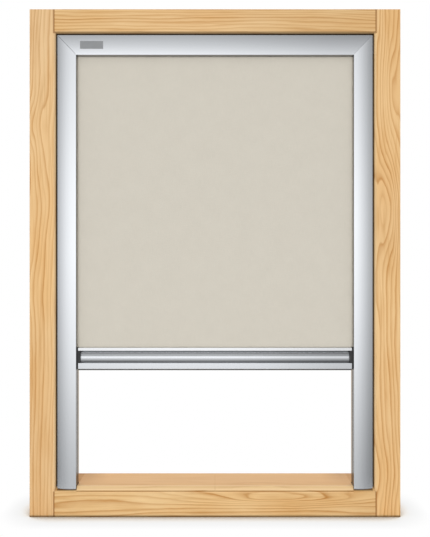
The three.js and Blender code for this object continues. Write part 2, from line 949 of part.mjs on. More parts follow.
/** Adds a screw at each place of one side. */
function addScrews(group, name, solid, places, sign) {
  places.forEach(([x, depth, height], i) => {
    const mesh = piece(`${name}_${i + 1}`, solid, 'steel');
    mesh.position.set(sign * x, depth, height);
    group.add(mesh);
  });
}

for (const { name, sign } of sides) {
  const railScrew = screw(railScrewRadius, railScrewHeadRadius, railScrewLength, sign);
  const bracketScrew = screw(bracketScrewRadius, bracketScrewHeadRadius, bracketScrewLength, sign);
  sash.add(piece(`${name}_stile`, stile(sign), 'pine'));
  guides.add(piece(`${name}_side_cover`, sideCover(sign), 'aluminium'));
  guides.add(piece(`${name}_guide_rail`, guideRail(sign), 'aluminium'));
  guides.add(piece(`${name}_guide_foot`, guideFoot(sign), 'darkPlastic'));
  addScrews(guides, `${name}_rail_screw`, railScrew, railScrewPlaces, sign);
  addScrews(header, `${name}_bracket_screw`, bracketScrew, bracketScrewPlaces, sign);
  bar.add(piece(`${name}_bar_plug`, barPlug(sign), 'darkPlastic'));
  bar.add(piece(`${name}_guide_shoe`, guideShoe(sign), 'darkPlastic'));
  bar.add(piece(`${name}_pad_spring`, padSpring(sign), 'steel'));
  const pad = inPocket(sign, fitGap, padFront, guideBack - fitGap);
  bar.add(piece(`${name}_friction_pad`, pad, 'felt'));
}

const pinSocket = disc([rollerDepth, rollerHeight], idlePinRadius + fitGap);
const squareHalf = arborSquare / 2 + fitGap;
const squareSocket = outline([
  [rollerDepth - squareHalf, rollerHeight - squareHalf],
  [rollerDepth + squareHalf, rollerHeight - squareHalf],
  [rollerDepth + squareHalf, rollerHeight + squareHalf],
  [rollerDepth - squareHalf, rollerHeight + squareHalf],
]);
header.add(piece('left_header_bracket', headerBracket(-1, pinSocket), 'darkPlastic'));
header.add(piece('right_header_bracket', headerBracket(1, squareSocket), 'darkPlastic'));

roller.add(piece('roller_tube', ring(tubeInner, tubeRadius, -tubeEnd, tubeEnd), 'aluminium'));
roller.add(piece('fabric_roll', ring(rollInner, rollRadius, -fabricHalf, fabricHalf), 'fabric'));
roller.add(piece('idle_plug', tubePlug(-1, idlePinRadius + fitGap), 'darkPlastic'));
roller.add(piece('idle_pin', idlePin(-1), 'steel'));
roller.add(piece('bearing_plug', tubePlug(1, arborRadius + fitGap), 'darkPlastic'));
const anchor = ring(arborRadius + fitGap, plugRadius, anchorInner, anchorInner + anchorThickness);
roller.add(piece('spring_anchor_plug', anchor, 'darkPlastic'));
roller.add(piece('spring_arbor', springArbor(), 'steel'));
roller.add(piece('roller_spring', rollerSpring(), 'steel'));

frontFace.add(piece('blind_fabric', blindFabric(), 'fabric'));

bar.add(piece('bottom_bar', bottomBar(), 'aluminium'));
bar.add(piece('bar_seal', alongBar(sealSection(0)), 'darkPlastic'));
const spline = disc(keyholeCentre, splineRadius);
bar.add(piece('fabric_spline', alongBar(spline, fitGap), 'darkPlastic'));

export default blind;
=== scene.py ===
"""Skylight window blind: the finish of a pine sash with a spring roller blind in aluminium guides.

Metres, with X right, Y back and Z up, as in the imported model. Depths count back from the front of
the wood.
"""

import math
from typing import NamedTuple

import bmesh
import bpy
import numpy as np
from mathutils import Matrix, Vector
from mathutils.geometry import tessellate_polygon


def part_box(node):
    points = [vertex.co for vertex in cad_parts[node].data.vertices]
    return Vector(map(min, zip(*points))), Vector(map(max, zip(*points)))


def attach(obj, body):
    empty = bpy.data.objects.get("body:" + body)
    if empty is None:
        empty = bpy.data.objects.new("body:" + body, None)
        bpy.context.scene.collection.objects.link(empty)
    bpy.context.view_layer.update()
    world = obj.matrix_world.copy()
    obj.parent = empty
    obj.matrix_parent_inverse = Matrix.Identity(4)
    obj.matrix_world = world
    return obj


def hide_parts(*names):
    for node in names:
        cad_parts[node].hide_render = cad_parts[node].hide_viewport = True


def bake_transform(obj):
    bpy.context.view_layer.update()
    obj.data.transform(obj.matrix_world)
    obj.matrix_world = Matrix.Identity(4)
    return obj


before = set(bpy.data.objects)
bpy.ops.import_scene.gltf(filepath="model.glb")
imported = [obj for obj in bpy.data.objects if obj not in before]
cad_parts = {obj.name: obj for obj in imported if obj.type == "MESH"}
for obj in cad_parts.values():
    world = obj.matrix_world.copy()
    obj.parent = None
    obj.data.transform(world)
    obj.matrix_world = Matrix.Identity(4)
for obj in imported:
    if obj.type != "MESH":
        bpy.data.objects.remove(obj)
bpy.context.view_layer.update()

SIDES = (("left", -1), ("right", 1))
X, Y, Z = 0, 1, 2
ALONG_X = (Y, Z, X)  # a section in (depth, height), carried along X
ALONG_Z = (X, Y, Z)  # a section in (x, depth), carried along Z

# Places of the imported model
FRAME_LOW, FRAME_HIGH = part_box("left_stile")
FRAME_FRONT = FRAME_LOW.y
SASH_TOP = FRAME_HIGH.z
COVER_LOW, COVER_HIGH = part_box("right_side_cover")
HEADER_LOW, HEADER_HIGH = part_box("header_casing")
BAR_LOW, BAR_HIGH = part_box("bottom_bar")
FABRIC_LOW, FABRIC_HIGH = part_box("blind_fabric")
GUIDE_LOW, GUIDE_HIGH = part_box("right_guide_rail")
ROLL_LOW, ROLL_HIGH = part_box("fabric_roll")
SPRING_LOW, SPRING_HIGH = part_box("roller_spring")
ROLLER_AXIS = (ROLL_LOW + ROLL_HIGH) / 2

# Sash round the blind
REVEAL = 0.0025  # gap between the blind and the wood beside it
STILE_INNER = COVER_HIGH.x + REVEAL
RAIL_INNER = HEADER_HIGH.z + REVEAL
SEAM = STILE_INNER + 0.0035  # where the rails end on the front face, outside the chamfer
SILL_FACE = 0.0457  # height of the bottom rail's front face, where its slope starts
SILL_TOP = 0.0532
SASH_EDGE = 0.0009
EYE_DEPTH = 0.1  # how far into the wood an eye of the figure reaches

# Cambered face of the covers and the header
WALL = 0.0016
FIT_GAP = 0.0003
CAMBER_RADIUS = 0.110
CAMBER_APEX = 0.023  # from the outer edge to the highest line of the face
CAMBER_STEPS = 28
FACE_EDGE = 0.0005  # radius of the face's front edges
COVER_WIDTH = COVER_HIGH.x - COVER_LOW.x
HEADER_HEIGHT = HEADER_HIGH.z - HEADER_LOW.z
MITRE_RISE = HEADER_HEIGHT / COVER_WIDTH
MITRE_GAPS = {-1: 0.0005, 1: 0.0002}  # the left mitre is a little open
COVER_END_GAP = 0.0022  # from a cover's lower end to the sill

# Legs of a side cover, and the guide rail that they snap into
CHAMBER = 0.0154  # room for the guide shoe, between the cover's inner leg and the rail's rib
RIB_OUTER = COVER_LOW.x + WALL + CHAMBER + WALL
WEB_WALL = 0.0022  # of the guide rail, on the stile
LEG_DEPTH = 0.0142
SNAP_DEPTH = 0.0118
SNAP_HALF = 0.001
SNAP_REACH = 0.0007
SLOT_FRONT = 0.011

# Header casing's shell, and its slot where the fabric comes out
SHELL_EDGE = 0.0012
LIP_EDGE = 0.0004
SHELL_SEAT = WALL / 16  # how far the shell and the lip reach into the face
SLOT_NEAR = 0.01025
SLOT_FAR = 0.01775

# Bottom bar, from its own bottom edge
BAR_CORNER = 0.0009
UPPER_LIP = 0.0055
GROOVE_HEIGHT = 0.0222
GROOVE_DEPTH = 0.0061
GROOVE_EDGE = 0.0004
GROOVE_STEPS = 36
GROOVE_PLUG = 0.0045  # how much of the groove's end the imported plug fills
GROOVE_PLUG_SHOWN = 0.0029
HOLLOW_LOW = 0.0044
HOLLOW_HIGH = 0.0279
HOLLOW_STEPS = 24
KEYHOLE_RADIUS = 0.0026
KEYHOLE_DROP = 0.0051
KEYHOLE_SLOT = 0.00055  # half of the slot over the keyhole
KEYHOLE_STEPS = 24
SEAL_NECK = 0.0015
SEAL_NECK_HEIGHT = 0.001
SEAL_HEAD = 0.003
SEAL_HEAD_HEIGHT = 0.0028

# Fabric
FABRIC_THICKNESS = 0.0005
FABRIC_WAVE = 0.00025
HEM_HALF = 0.2442
PANEL_LOW = BAR_HIGH.z + FIT_GAP
ROLL_INNER = 0.0103
WOUND_LENGTH = 0.27
WOUND_THICKNESS = FABRIC_THICKNESS * 0.85  # under the true one, so that the turns stay apart
THREAD = 0.0007  # pitch of the weave

# Bare plate on the header
PLATE_LEFT, PLATE_RIGHT = -0.2402, -0.1992
PLATE_LOW = HEADER_LOW.z + 0.0107
PLATE_HIGH = PLATE_LOW + 0.014
PLATE_THICKNESS = 0.0003
PLATE_LINES = 9

# Edges of the smaller pieces
PLASTIC_EDGE = 0.0003
TURNED_EDGE = 0.0002
METAL_EDGE = 0.00015
LEAF_EDGE = 0.0001

# View and room
VIEW_DISTANCE = 1.2  # from the front of the wood
VIEW_HEIGHT = SASH_TOP / 2 - 0.0002
LENS, SENSOR = 45.2, 36  # in millimetres
LENS_SHIFT = -0.0097
FLOOR_FRONT = -0.14
FLOOR_REACH = 3.0
NEAR_FLOOR = 0.13  # how far from the sash the floor is partly matt
SHADOW_REACH = 0.06


def at_depth(depth):
    """The Y of a depth behind the front of the wood."""
    return FRAME_FRONT + depth


# Sections


def arc(centre, radius, start, stop, steps):
    """Points of an arc: centre + radius (cos t, sin t), for t in degrees from start to stop."""
    turn = np.radians(np.linspace(start, stop, steps + 1))
    return np.column_stack([centre[0] + radius * np.cos(turn), centre[1] + radius * np.sin(turn)])


def rounded(corners, radii, steps=4):
    """An outline with each corner turned into an arc of its own radius, or left sharp at radius 0.

    With u and v the unit vectors from a corner to its neighbours and a the angle between them, the
    arc's centre lies radius / sin(a / 2) from the corner along u + v, and the arc starts
    radius / tan(a / 2) along u.
    """
    corners = np.asarray(corners, float)
    radii = np.broadcast_to(np.asarray(radii, float), len(corners))
    u = np.roll(corners, 1, 0) - corners
    v = np.roll(corners, -1, 0) - corners
    u /= np.linalg.norm(u, axis=1, keepdims=True)
    v /= np.linalg.norm(v, axis=1, keepdims=True)
    half = np.arccos(np.clip((u * v).sum(1), -1, 1)) / 2
    middle = u + v
    middle /= np.maximum(np.linalg.norm(middle, axis=1, keepdims=True), 1e-9)
    centres = corners + middle * (radii / np.sin(half))[:, None]
    reach = (radii / np.tan(half))[:, None]
    first = corners + u * reach - centres
    last = corners + v * reach - centres
    start = np.arctan2(first[:, 1], first[:, 0])
    sweep = (np.arctan2(last[:, 1], last[:, 0]) - start + math.pi) % (2 * math.pi) - math.pi
    turn = start[:, None] + sweep[:, None] * np.linspace(0, 1, steps + 1)
    points = centres[:, None] + radii[:, None, None] * np.stack([np.cos(turn), np.sin(turn)], 2)
    kept = (radii[:, None] > 0) | (np.arange(steps + 1) == 0)
    return points[kept]


def rectangle(left, right, low, high):
    """The four corners of a rectangle."""
    return np.array([(left, low), (right, low), (right, high), (left, high)])


def signed_area(loop):
    """Half the sum of a[i] b[i+1] - a[i+1] b[i]: positive if the loop runs anticlockwise."""
    after = np.roll(loop, -1, 0)
    return (loop[:, 0] * after[:, 1] - after[:, 0] * loop[:, 1]).sum() / 2


def carried(loops, low, high, plane):
    """A section carried straight along an axis, as (vertices, faces).

    The first loop is the outline and the others are holes. Point (a, b) of the section becomes
    (a, b, low) and (a, b, high) on the plane's axes. An end is a number, or a function of the
    section's points, as at a mitre.
    """
    as_wanted = [(signed_area(loop) > 0) == (i == 0) for i, loop in enumerate(loops)]
    loops = [loop if kept else loop[::-1] for loop, kept in zip(loops, as_wanted)]
    points = np.vstack(loops)
    count = len(points)
    vertices = np.empty((2 * count, 3))
    vertices[:, plane[0]] = np.tile(points[:, 0], 2)
    vertices[:, plane[1]] = np.tile(points[:, 1], 2)
    vertices[:count, plane[2]] = low(points) if callable(low) else low
    vertices[count:, plane[2]] = high(points) if callable(high) else high
    faces = []
    first = 0
    for loop in loops:
        near = np.arange(first, first + len(loop))
        after = np.roll(near, -1)
        faces += np.column_stack([near, after, after + count, near + count]).tolist()
        first += len(loop)
    cap = np.array(tessellate_polygon([[Vector((a, b, 0)) for a, b in loop] for loop in loops]))
    corner = points[cap]
    one, two = corner[:, 1] - corner[:, 0], corner[:, 2] - corner[:, 0]
    backwards = one[:, 0] * two[:, 1] - one[:, 1] * two[:, 0] < 0
    cap[backwards] = cap[backwards][:, ::-1]
    faces += (cap + count).tolist() + cap[:, ::-1].tolist()
    return vertices, faces


def together(*solids):
    """Several (vertices, faces) as one."""
    vertices, faces = [], []
    count = 0
    for points, corners in solids:
        vertices.append(points)
        faces += [[corner + count for corner in face] for face in corners]
        count += len(points)
    return np.vstack(vertices), faces


def grid_faces(rows, columns, closed=False):
    """Quads of a grid of points, numbered row by row, with its columns joined round if closed."""
    number = np.arange(rows * columns).reshape(rows, columns)
    if closed:
        number = np.column_stack([number, number[:, 0]])
    quads = [number[:-1, :-1], number[:-1, 1:], number[1:, 1:], number[1:, :-1]]
    return np.stack([quad.ravel() for quad in quads], 1).tolist()


# Pieces

SHARP_ANGLE = 35  # in degrees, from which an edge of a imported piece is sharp, or rounded
DRAWN_ANGLE = 32  # the same for a piece drawn here
WINDING_ANGLE = 60
FLAT_ANGLE = 0.4
SAME_PLACE = 1e-6  # vertices this near each other are merged
ON_PLANE = 1e-4  # a vertex this near a plane lies on it


def in_scene(name, data):
    """A new object of the data, linked to the scene."""
    made = bpy.data.objects.new(name, data)
    bpy.context.scene.collection.objects.link(made)
    return made


def smooth_object(mesh, sharp):
    """An object of the mesh, shaded smooth, with its edges sharp from so many degrees on."""
    mesh.polygons.foreach_set("use_smooth", np.ones(len(mesh.polygons), bool))
    mesh.set_sharp_from_angle(angle=math.radians(sharp))
    return in_scene(mesh.name, mesh)


def shown(name, solid, uv=None, sharp=DRAWN_ANGLE):
    """A smooth object of (vertices, faces), with a UV in metres for each vertex if there is one."""
    mesh = bpy.data.meshes.new(name)
    mesh.from_pydata(solid[0].tolist(), [], solid[1])
    if uv is not None:
        corners = np.empty(len(mesh.loops), int)
        mesh.loops.foreach_get("vertex_index", corners)
        mesh.uv_layers.new(name="cloth").uv.foreach_set("vector", uv[corners].ravel())
    return smooth_object(mesh, sharp)


def bevelled(piece, width, segments):
    """Rounds the piece's sharp edges by width, and returns the modifier."""
    edge = piece.modifiers.new("edges", "BEVEL")
    edge.width = width
    edge.segments = segments
    edge.limit_method = "ANGLE"
    edge.angle_limit = math.radians(SHARP_ANGLE)
    return edge


def softened(node, width, segments=3):
    """A copy of a CAD node, merged, with its flat faces joined and its edges rounded by width."""
    shape = bmesh.new()
    shape.from_mesh(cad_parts[node].data)
    bmesh.ops.remove_doubles(shape, verts=shape.verts, dist=SAME_PLACE)
    flat = math.radians(FLAT_ANGLE)
    corners, sides = list(shape.verts), list(shape.edges)
    bmesh.ops.dissolve_limit(shape, angle_limit=flat, verts=corners, edges=sides)
    mesh = bpy.data.meshes.new(f"{node}_finished")
    shape.to_mesh(mesh)
    shape.free()
    made = smooth_object(mesh, SHARP_ANGLE)
    if width:
        bevelled(made, width, segments).harden_normals = True
    return made


def even_shading(piece):
    """Weights the normals by face area, so that a round edge doesn't darken the flats beside it."""
    piece.modifiers.new("shading", "WEIGHTED_NORMAL").keep_sharp = True


def thickened(sheet, thickness):
    """Gives a sheet its thickness, half of it on each side."""
    thick = sheet.modifiers.new("thickness", "SOLIDIFY")
    thick.thickness = thickness
    thick.offset = 0


def drawn_out(piece, place, shift):
    """Moves the vertices on the two planes |x| = place outwards by shift."""
    points = np.empty(3 * len(piece.data.vertices))
    piece.data.vertices.foreach_get("co", points)
    x = points[::3]
    x += np.sign(x) * shift * (np.abs(np.abs(x) - place) < ON_PLANE)
    piece.data.vertices.foreach_set("co", points)


def settle(piece, body, nodes, finish):
    """Puts a finished piece on its body, in the place of its CAD nodes."""
    piece.data.materials.append(finish)
    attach(piece, body)
    if nodes:
        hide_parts(*nodes)


# Shader nodes

MIX_SHARE, MIX_FIRST, MIX_SECOND, MIX_RESULT = 0, 6, 7, 2  # sockets of a Mix node for colours


def tint(red, green, blue):
    """A colour written in 0 to 255, as the linear values that a shader takes."""
    share = np.array([red, green, blue]) / 255
    linear = np.where(share <= 0.04045, share / 12.92, ((share + 0.055) / 1.055) ** 2.4)
    return (*linear.tolist(), 1)


class Wire:
    """A socket in a node tree. Arithmetic on it adds Math nodes, and node() adds any other node."""

    def __init__(self, tree, socket=None):
        self.tree = tree
        self.socket = socket

    def node(self, kind, settings=(), inputs=(), output=0):
        """Adds a shader node with its settings and its inputs' values or links, for one output."""
        made = self.tree.nodes.new(f"ShaderNode{kind}")
        for key, value in dict(settings).items():
            if key == "stops":
                while len(made.color_ramp.elements) < len(value):
                    made.color_ramp.elements.new(0.5)
                for element, (position, shade) in zip(made.color_ramp.elements, value):
                    red_green_blue = shade[:3] if isinstance(shade, tuple) else (shade,) * 3
                    element.position = position
                    element.color = (*red_green_blue, 1)
            else:
                setattr(made, key, value)
        for key, value in dict(inputs).items():
            if isinstance(value, Wire):
                self.tree.links.new(value.socket, made.inputs[key])
            else:
                made.inputs[key].default_value = value
        return Wire(self.tree, made.outputs[output] if len(made.outputs) else None)

    def maths(self, operation, *others):
        """A Math node that starts with this value."""
        return self.node("Math", {"operation": operation}, enumerate((self, *others)))

    def vector_maths(self, operation, *others):
        """A Vector Math node that starts with this vector."""
        output = "Value" if operation in ("DOT_PRODUCT", "LENGTH") else "Vector"
        inputs = enumerate((self, *others))
        return self.node("VectorMath", {"operation": operation}, inputs, output)

    def parts(self):
        """The three numbers of this vector."""
        split = self.node("SeparateXYZ", (), {0: self})
        return [Wire(self.tree, socket) for socket in split.socket.node.outputs]

    def ramp(self, *stops):
        """A colour ramp on this value. A stop is its place and a colour, or a number for a grey."""
        return self.node("ValToRGB", {"stops": stops}, {0: self})

    def mix(self, first, second):
        """The first colour where this value is 0 and the second where it is 1."""
        inputs = {MIX_SHARE: self, MIX_FIRST: first, MIX_SECOND: second}
        return self.node("Mix", {"data_type": "RGBA"}, inputs, MIX_RESULT)

    def noise(self, stretch, scale, detail=2.0, roughness=0.5, output=0):
        """Noise on this vector, drawn out on the axes where stretch is under 1."""
        placed = self.vector_maths("MULTIPLY", stretch)
        inputs = {"Vector": placed, "Scale": scale, "Detail": detail, "Roughness": roughness}
        return self.node("TexNoise", (), inputs, output)

    def __add__(self, other):
        return self.maths("ADD", other)

    __radd__ = __add__

    def __sub__(self, other):
        return self.maths("SUBTRACT", other)

    def __rsub__(self, other):
        return self.node("Math", {"operation": "SUBTRACT"}, {0: other, 1: self})

    def __mul__(self, other):
        return self.maths("MULTIPLY", other)

    __rmul__ = __mul__

    def __truediv__(self, other):
        return self.maths("DIVIDE", other)

    def __abs__(self):
        return self.maths("ABSOLUTE")


def bare_wire(owner):
    """Clears the nodes of a material or a world, and returns a wire that adds new ones."""
    owner.use_nodes = True
    owner.node_tree.nodes.clear()
    return Wire(owner.node_tree)


def new_finish(name):
    """A new material and its wire."""
    material = bpy.data.materials.new(name)
    return material, bare_wire(material)


def object_place(wire):
    """The place on a piece, in metres on its own axes."""
    return wire.node("TexCoord", output="Object")


def close_finish(wire, height=None, bump=0.0, **sockets):
    """Ends a material in one principled shader, with a bump of so many metres on its normal."""
    inputs = {key.replace("_", " "): value for key, value in sockets.items()}
    if height is not None:
        bumped = {"Strength": 1.0, "Distance": bump, "Height": height}
        inputs["Normal"] = wire.node("Bump", (), bumped)
    shader = wire.node("BsdfPrincipled", (), inputs)
    wire.node("OutputMaterial", (), {"Surface": shader})


# Finishes

# Grey of painted shade on the metal's edges, ends and hollows
PAINTED_SHADE = (92, 92, 92)
DRAWN_UP = (1, 1, 0.004)  # lines along Z
DRAWN_ACROSS = (0.004, 1, 1)  # lines along X
SATIN = (233, 236, 240)


class Tone(NamedTuple):
    """A line or corner of another colour, mostly painted light or shade: a plane across an axis,
    and limits along another axis.

    X counts from the middle of the blind, so a tone across X lies on both sides. Its limits fade
    over blur.
    """

    axis: int
    place: float
    width: float
    amount: float
    colour: tuple
    along: int = Z
    start: float = -1.0
    stop: float = 1.0
    blur: float = 0.00001


def toned(colour, where, tones):
    """The colour with the tones mixed in, each in full on two fifths of its width."""
    x, y, z = where.parts()
    places = (abs(x), y, z)
    for tone in tones:
        apart = abs(places[tone.axis] - tone.place) / tone.width
        middle, half = (tone.start + tone.stop) / 2, (tone.stop - tone.start) / 2
        off = abs(places[tone.along] - middle) / half
        inside = off.ramp((1 - tone.blur / half, 1.0), (1.0, 0.0))
        share = apart.ramp((0.4, tone.amount), (1.0, 0.0)) * inside
        colour = share.mix(colour, tint(*tone.colour))
    return colour


def faded(colour, where, axis, stops):
    """The colour times a level that changes slowly along an axis, given at places in metres:
    painted shade along the metal, and partly painted light and shade along the wood.
    """
    centred = [(0.5 + place * 0.5, share) for place, share in stops]
    level = (where.parts()[axis] * 0.5 + 0.5).ramp(*centred)
    settings = {"data_type": "RGBA", "blend_type": "MULTIPLY"}
    inputs = {MIX_SHARE: 1.0, MIX_FIRST: colour, MIX_SECOND: level}
    return where.node("Mix", settings, inputs, MIX_RESULT)


class Member(NamedTuple):
    """How a wooden member is cut from its log.

    The pith runs along an axis through a place and leans by so many degrees about X and Y. Ring is
    the width of a ring, drift how far slow noise carries the rings, and figure how strongly they
    show. The fade gives the level of the colour at places along the member: partly the wood's own
    tone, and partly painted light and shade.
    """

    axis: int
    pith: tuple
    lean: tuple
    ring: float
    drift: float
    figure: float
    eyes: tuple
    fade: tuple


def pine(name, member, tones):
    """Lacquered pine cut from a log, with its rings round the pith.

    The ring number is the distance to the pith, warped by slow noise, over the width of a ring,
    plus a bell exp(-d2) round each eye of the figure. Its fraction runs from pale spring wood to
    the thin amber line of summer wood.
    """
    material, wire = new_finish(name)
    lying = 90 if member.axis == X else 0
    turned = (math.radians(member.lean[0]), math.radians(member.lean[1] + lying), 0)
    where = object_place(wire)
    log = wire.node(
        "Mapping",
        {"vector_type": "TEXTURE"},
        {"Vector": where, "Location": member.pith, "Rotation": turned},
    )
    slow = log.noise((1, 1, 0.11), 17, 1.5, 0.45, output="Color")
    centred = slow.vector_maths("SUBTRACT", (0.5, 0.5, 0.5))
    warped = centred.vector_maths("MULTIPLY_ADD", (member.drift, member.drift, 0), log)
    radius = warped.vector_maths("MULTIPLY", (1, 1, 0)).vector_maths("LENGTH")
    waver = log.noise((1, 1, 0.11), 44, 1.5)
    kink = log.noise((1, 1, 0.3), 150, 2.0)
    rings = radius / member.ring + (waver - 0.5) * 2.8 + (kink - 0.5) * 0.2
    for centre, reach, count in member.eyes:
        offset = where.vector_maths("SUBTRACT", centre).vector_maths("DIVIDE", reach)
        bell = (0 - offset.vector_maths("DOT_PRODUCT", offset)).maths("EXPONENT")
        rings = rings + bell * count
    number = {"W": rings.maths("FLOOR")}
    chance = wire.node("TexWhiteNoise", {"noise_dimensions": "1D"}, number)
    phase = rings.maths("FRACT")
    rise = ((0, 0.12), (0.2, 0.0), (0.5, 0.14), (0.75, 0.55), (0.88, 0.95))
    summer = phase.ramp(*rise, (0.95, 0.6), (1, 0.12))
    fibre = log.noise((1, 1, 0.014), 1500, 3.0, 0.6)
    streak = log.noise((1, 1, 0.03), 330, 2.0, 0.55)
    patch = log.noise((1, 1, 0.22), 24, 2.0)
    amount = summer * (0.35 + chance * 0.65) * (0.2 + patch * 1.3) * member.figure
    pale = patch.ramp((0.3, tint(246, 210, 158)), (0.7, tint(238, 194, 136)))
    ringed = amount.mix(pale, tint(193, 132, 66))
    streaked = (streak.ramp((0.5, 0.0), (0.76, 1.0)) * 0.46).mix(ringed, tint(206, 153, 90))
    fibred = (fibre.ramp((0.35, 0.0), (0.75, 1.0)) * 0.2).mix(streaked, tint(205, 156, 98))
    along = (1, 0, 0) if member.axis == X else (0, 0, 1)
    facing = wire.node("NewGeometry", output="Normal").vector_maths("DOT_PRODUCT", along)
    end_grain = (facing * facing).ramp((0.6, 0.0), (0.9, 1.0))
    sawn = (end_grain * 0.55).mix(fibred, tint(176, 128, 76))
    close_finish(
        wire,
        height=fibre * 0.6 + amount * 0.4,
        bump=0.0001,
        Base_Color=toned(faded(sawn, where, member.axis, member.fade), where, tones),
        Roughness=0.38 + fibre * 0.16 + end_grain * 0.25,
        IOR=1.47,
        Specular_IOR_Level=0.08,
    )
    return material


def anodised(name, stretch, tones=(), shade=SATIN, fade=((0, 1.0), (1, 1.0))):
    """Satin anodised aluminium with faint drawn lines. Its level may change along X, as painted
    shade.
    """
    material, wire = new_finish(name)
    where = object_place(wire)
    line = where.noise(stretch, 700, 2.0, 0.5)
    cloud = where.noise((1, 1, 1), 9, 2.0)
    darker = tuple(level - 7 for level in shade)
    metal = (line * 0.6 + cloud * 0.4).mix(tint(*darker), tint(*shade))
    close_finish(
        wire,
        height=line,
        bump=0.0000008,
        Base_Color=toned(faded(metal, where, X, fade), where, tones),
        Metallic=1.0,
        Roughness=0.2 + line * 0.05 + cloud * 0.04,
    )
    return material


def cloth(name, shade, hollow_shade):
    """Plain weave on the piece's own UV, in metres: warp threads pass over weft in a check.

    A thread's height is the cosine of its distance from its middle, and the check says which of the
    two threads lies on top.
    """
    material, wire = new_finish(name)
    place = wire.node("UVMap", {"uv_map": "cloth"})
    count = place.vector_maths("MULTIPLY", (1 / THREAD, 1 / THREAD, 0))
    u, v, _ = count.parts()
    warp = (u * math.pi).maths("SINE")
    weft = (v * math.pi).maths("SINE")
    check = (warp * weft).maths("GREATER_THAN", 0.0)
    thread = check * abs(warp) + (1 - check) * abs(weft)
    slub = count.noise((0.05, 1, 1), 0.9, 2.0) * 0.5 + count.noise((1, 0.05, 1), 0.9, 2.0) * 0.5
    mottle = place.noise((1, 1, 1), 30, 4.0, 0.6)
    tone = thread * 0.5 + slub * 0.7 + (mottle - 0.5) * 0.3
    close_finish(
        wire,
        height=thread * 0.8 + slub * 0.2,
        bump=0.00006,
        # The colour is darker towards the hollows between the threads, a painted shade; the slub
        # and the mottle are the cloth's own.
        Base_Color=tone.ramp((0.1, tint(*hollow_shade)), (0.9, tint(*shade))),
        Roughness=0.82 + slub * 0.12,
        Sheen_Weight=0.12,
        Sheen_Roughness=0.5,
        Specular_IOR_Level=0.25,
    )
    return material


def moulded(name, shade, lighter, roughness, grain, bump):
    """Moulded plastic or rubber with a fine spark-eroded grain."""
    material, wire = new_finish(name)
    where = object_place(wire)
    pebble = where.noise((1, 1, 1), grain, 3.0, 0.6)
    worn = where.noise((1, 1, 1), 60, 3.0)
    close_finish(
        wire,
        height=pebble,
        bump=bump,
        Base_Color=(pebble * 0.75 + worn * 0.3).ramp((0.3, tint(*shade)), (0.72, tint(*lighter))),
        Roughness=roughness + (pebble - 0.5) * 0.25 + (worn - 0.5) * 0.15,
        Specular_IOR_Level=0.4,
    )
    return material


def plated(name):
    """Zinc-plated steel: a grey metal with cloudy passivation and drawn lines."""
    material, wire = new_finish(name)
    where = object_place(wire)
    cloud = where.noise((1, 1, 1), 160, 4.0)
    drawn = where.noise((0.05, 1, 1), 1800, 2.0)
    close_finish(
        wire,
        height=drawn,
        bump=0.000006,
        Base_Color=cloud.ramp((0.3, tint(168, 171, 176)), (0.7, tint(205, 203, 194))),
        Metallic=1.0,
        Roughness=0.24 + cloud * 0.2 + drawn * 0.06,
    )
    return material


def felted(name):
    """Pressed wool felt: tangled fibres on a dark ground."""
    material, wire = new_finish(name)
    where = object_place(wire)
    tangle = where.noise((1, 1, 1), 2600, 5.0, 0.75)
    clump = where.noise((1, 1, 1), 420, 3.0)
    dark, light = tint(40, 40, 39), tint(92, 90, 86)
    close_finish(
        wire,
        height=tangle * 0.7 + clump * 0.3,
        bump=0.0002,
        Base_Color=(tangle * 0.7 + clump * 0.3).ramp((0.35, dark), (0.7, light)),
        Roughness=0.95,
        Sheen_Weight=0.3,
    )
    return material


# Sash


def eye(x, z, across, up, count):
    """An eye of so many rings at (x, z) on the front, with its reach sideways and up and down."""
    return (x, FRAME_FRONT, z), (across, EYE_DEPTH, up), count


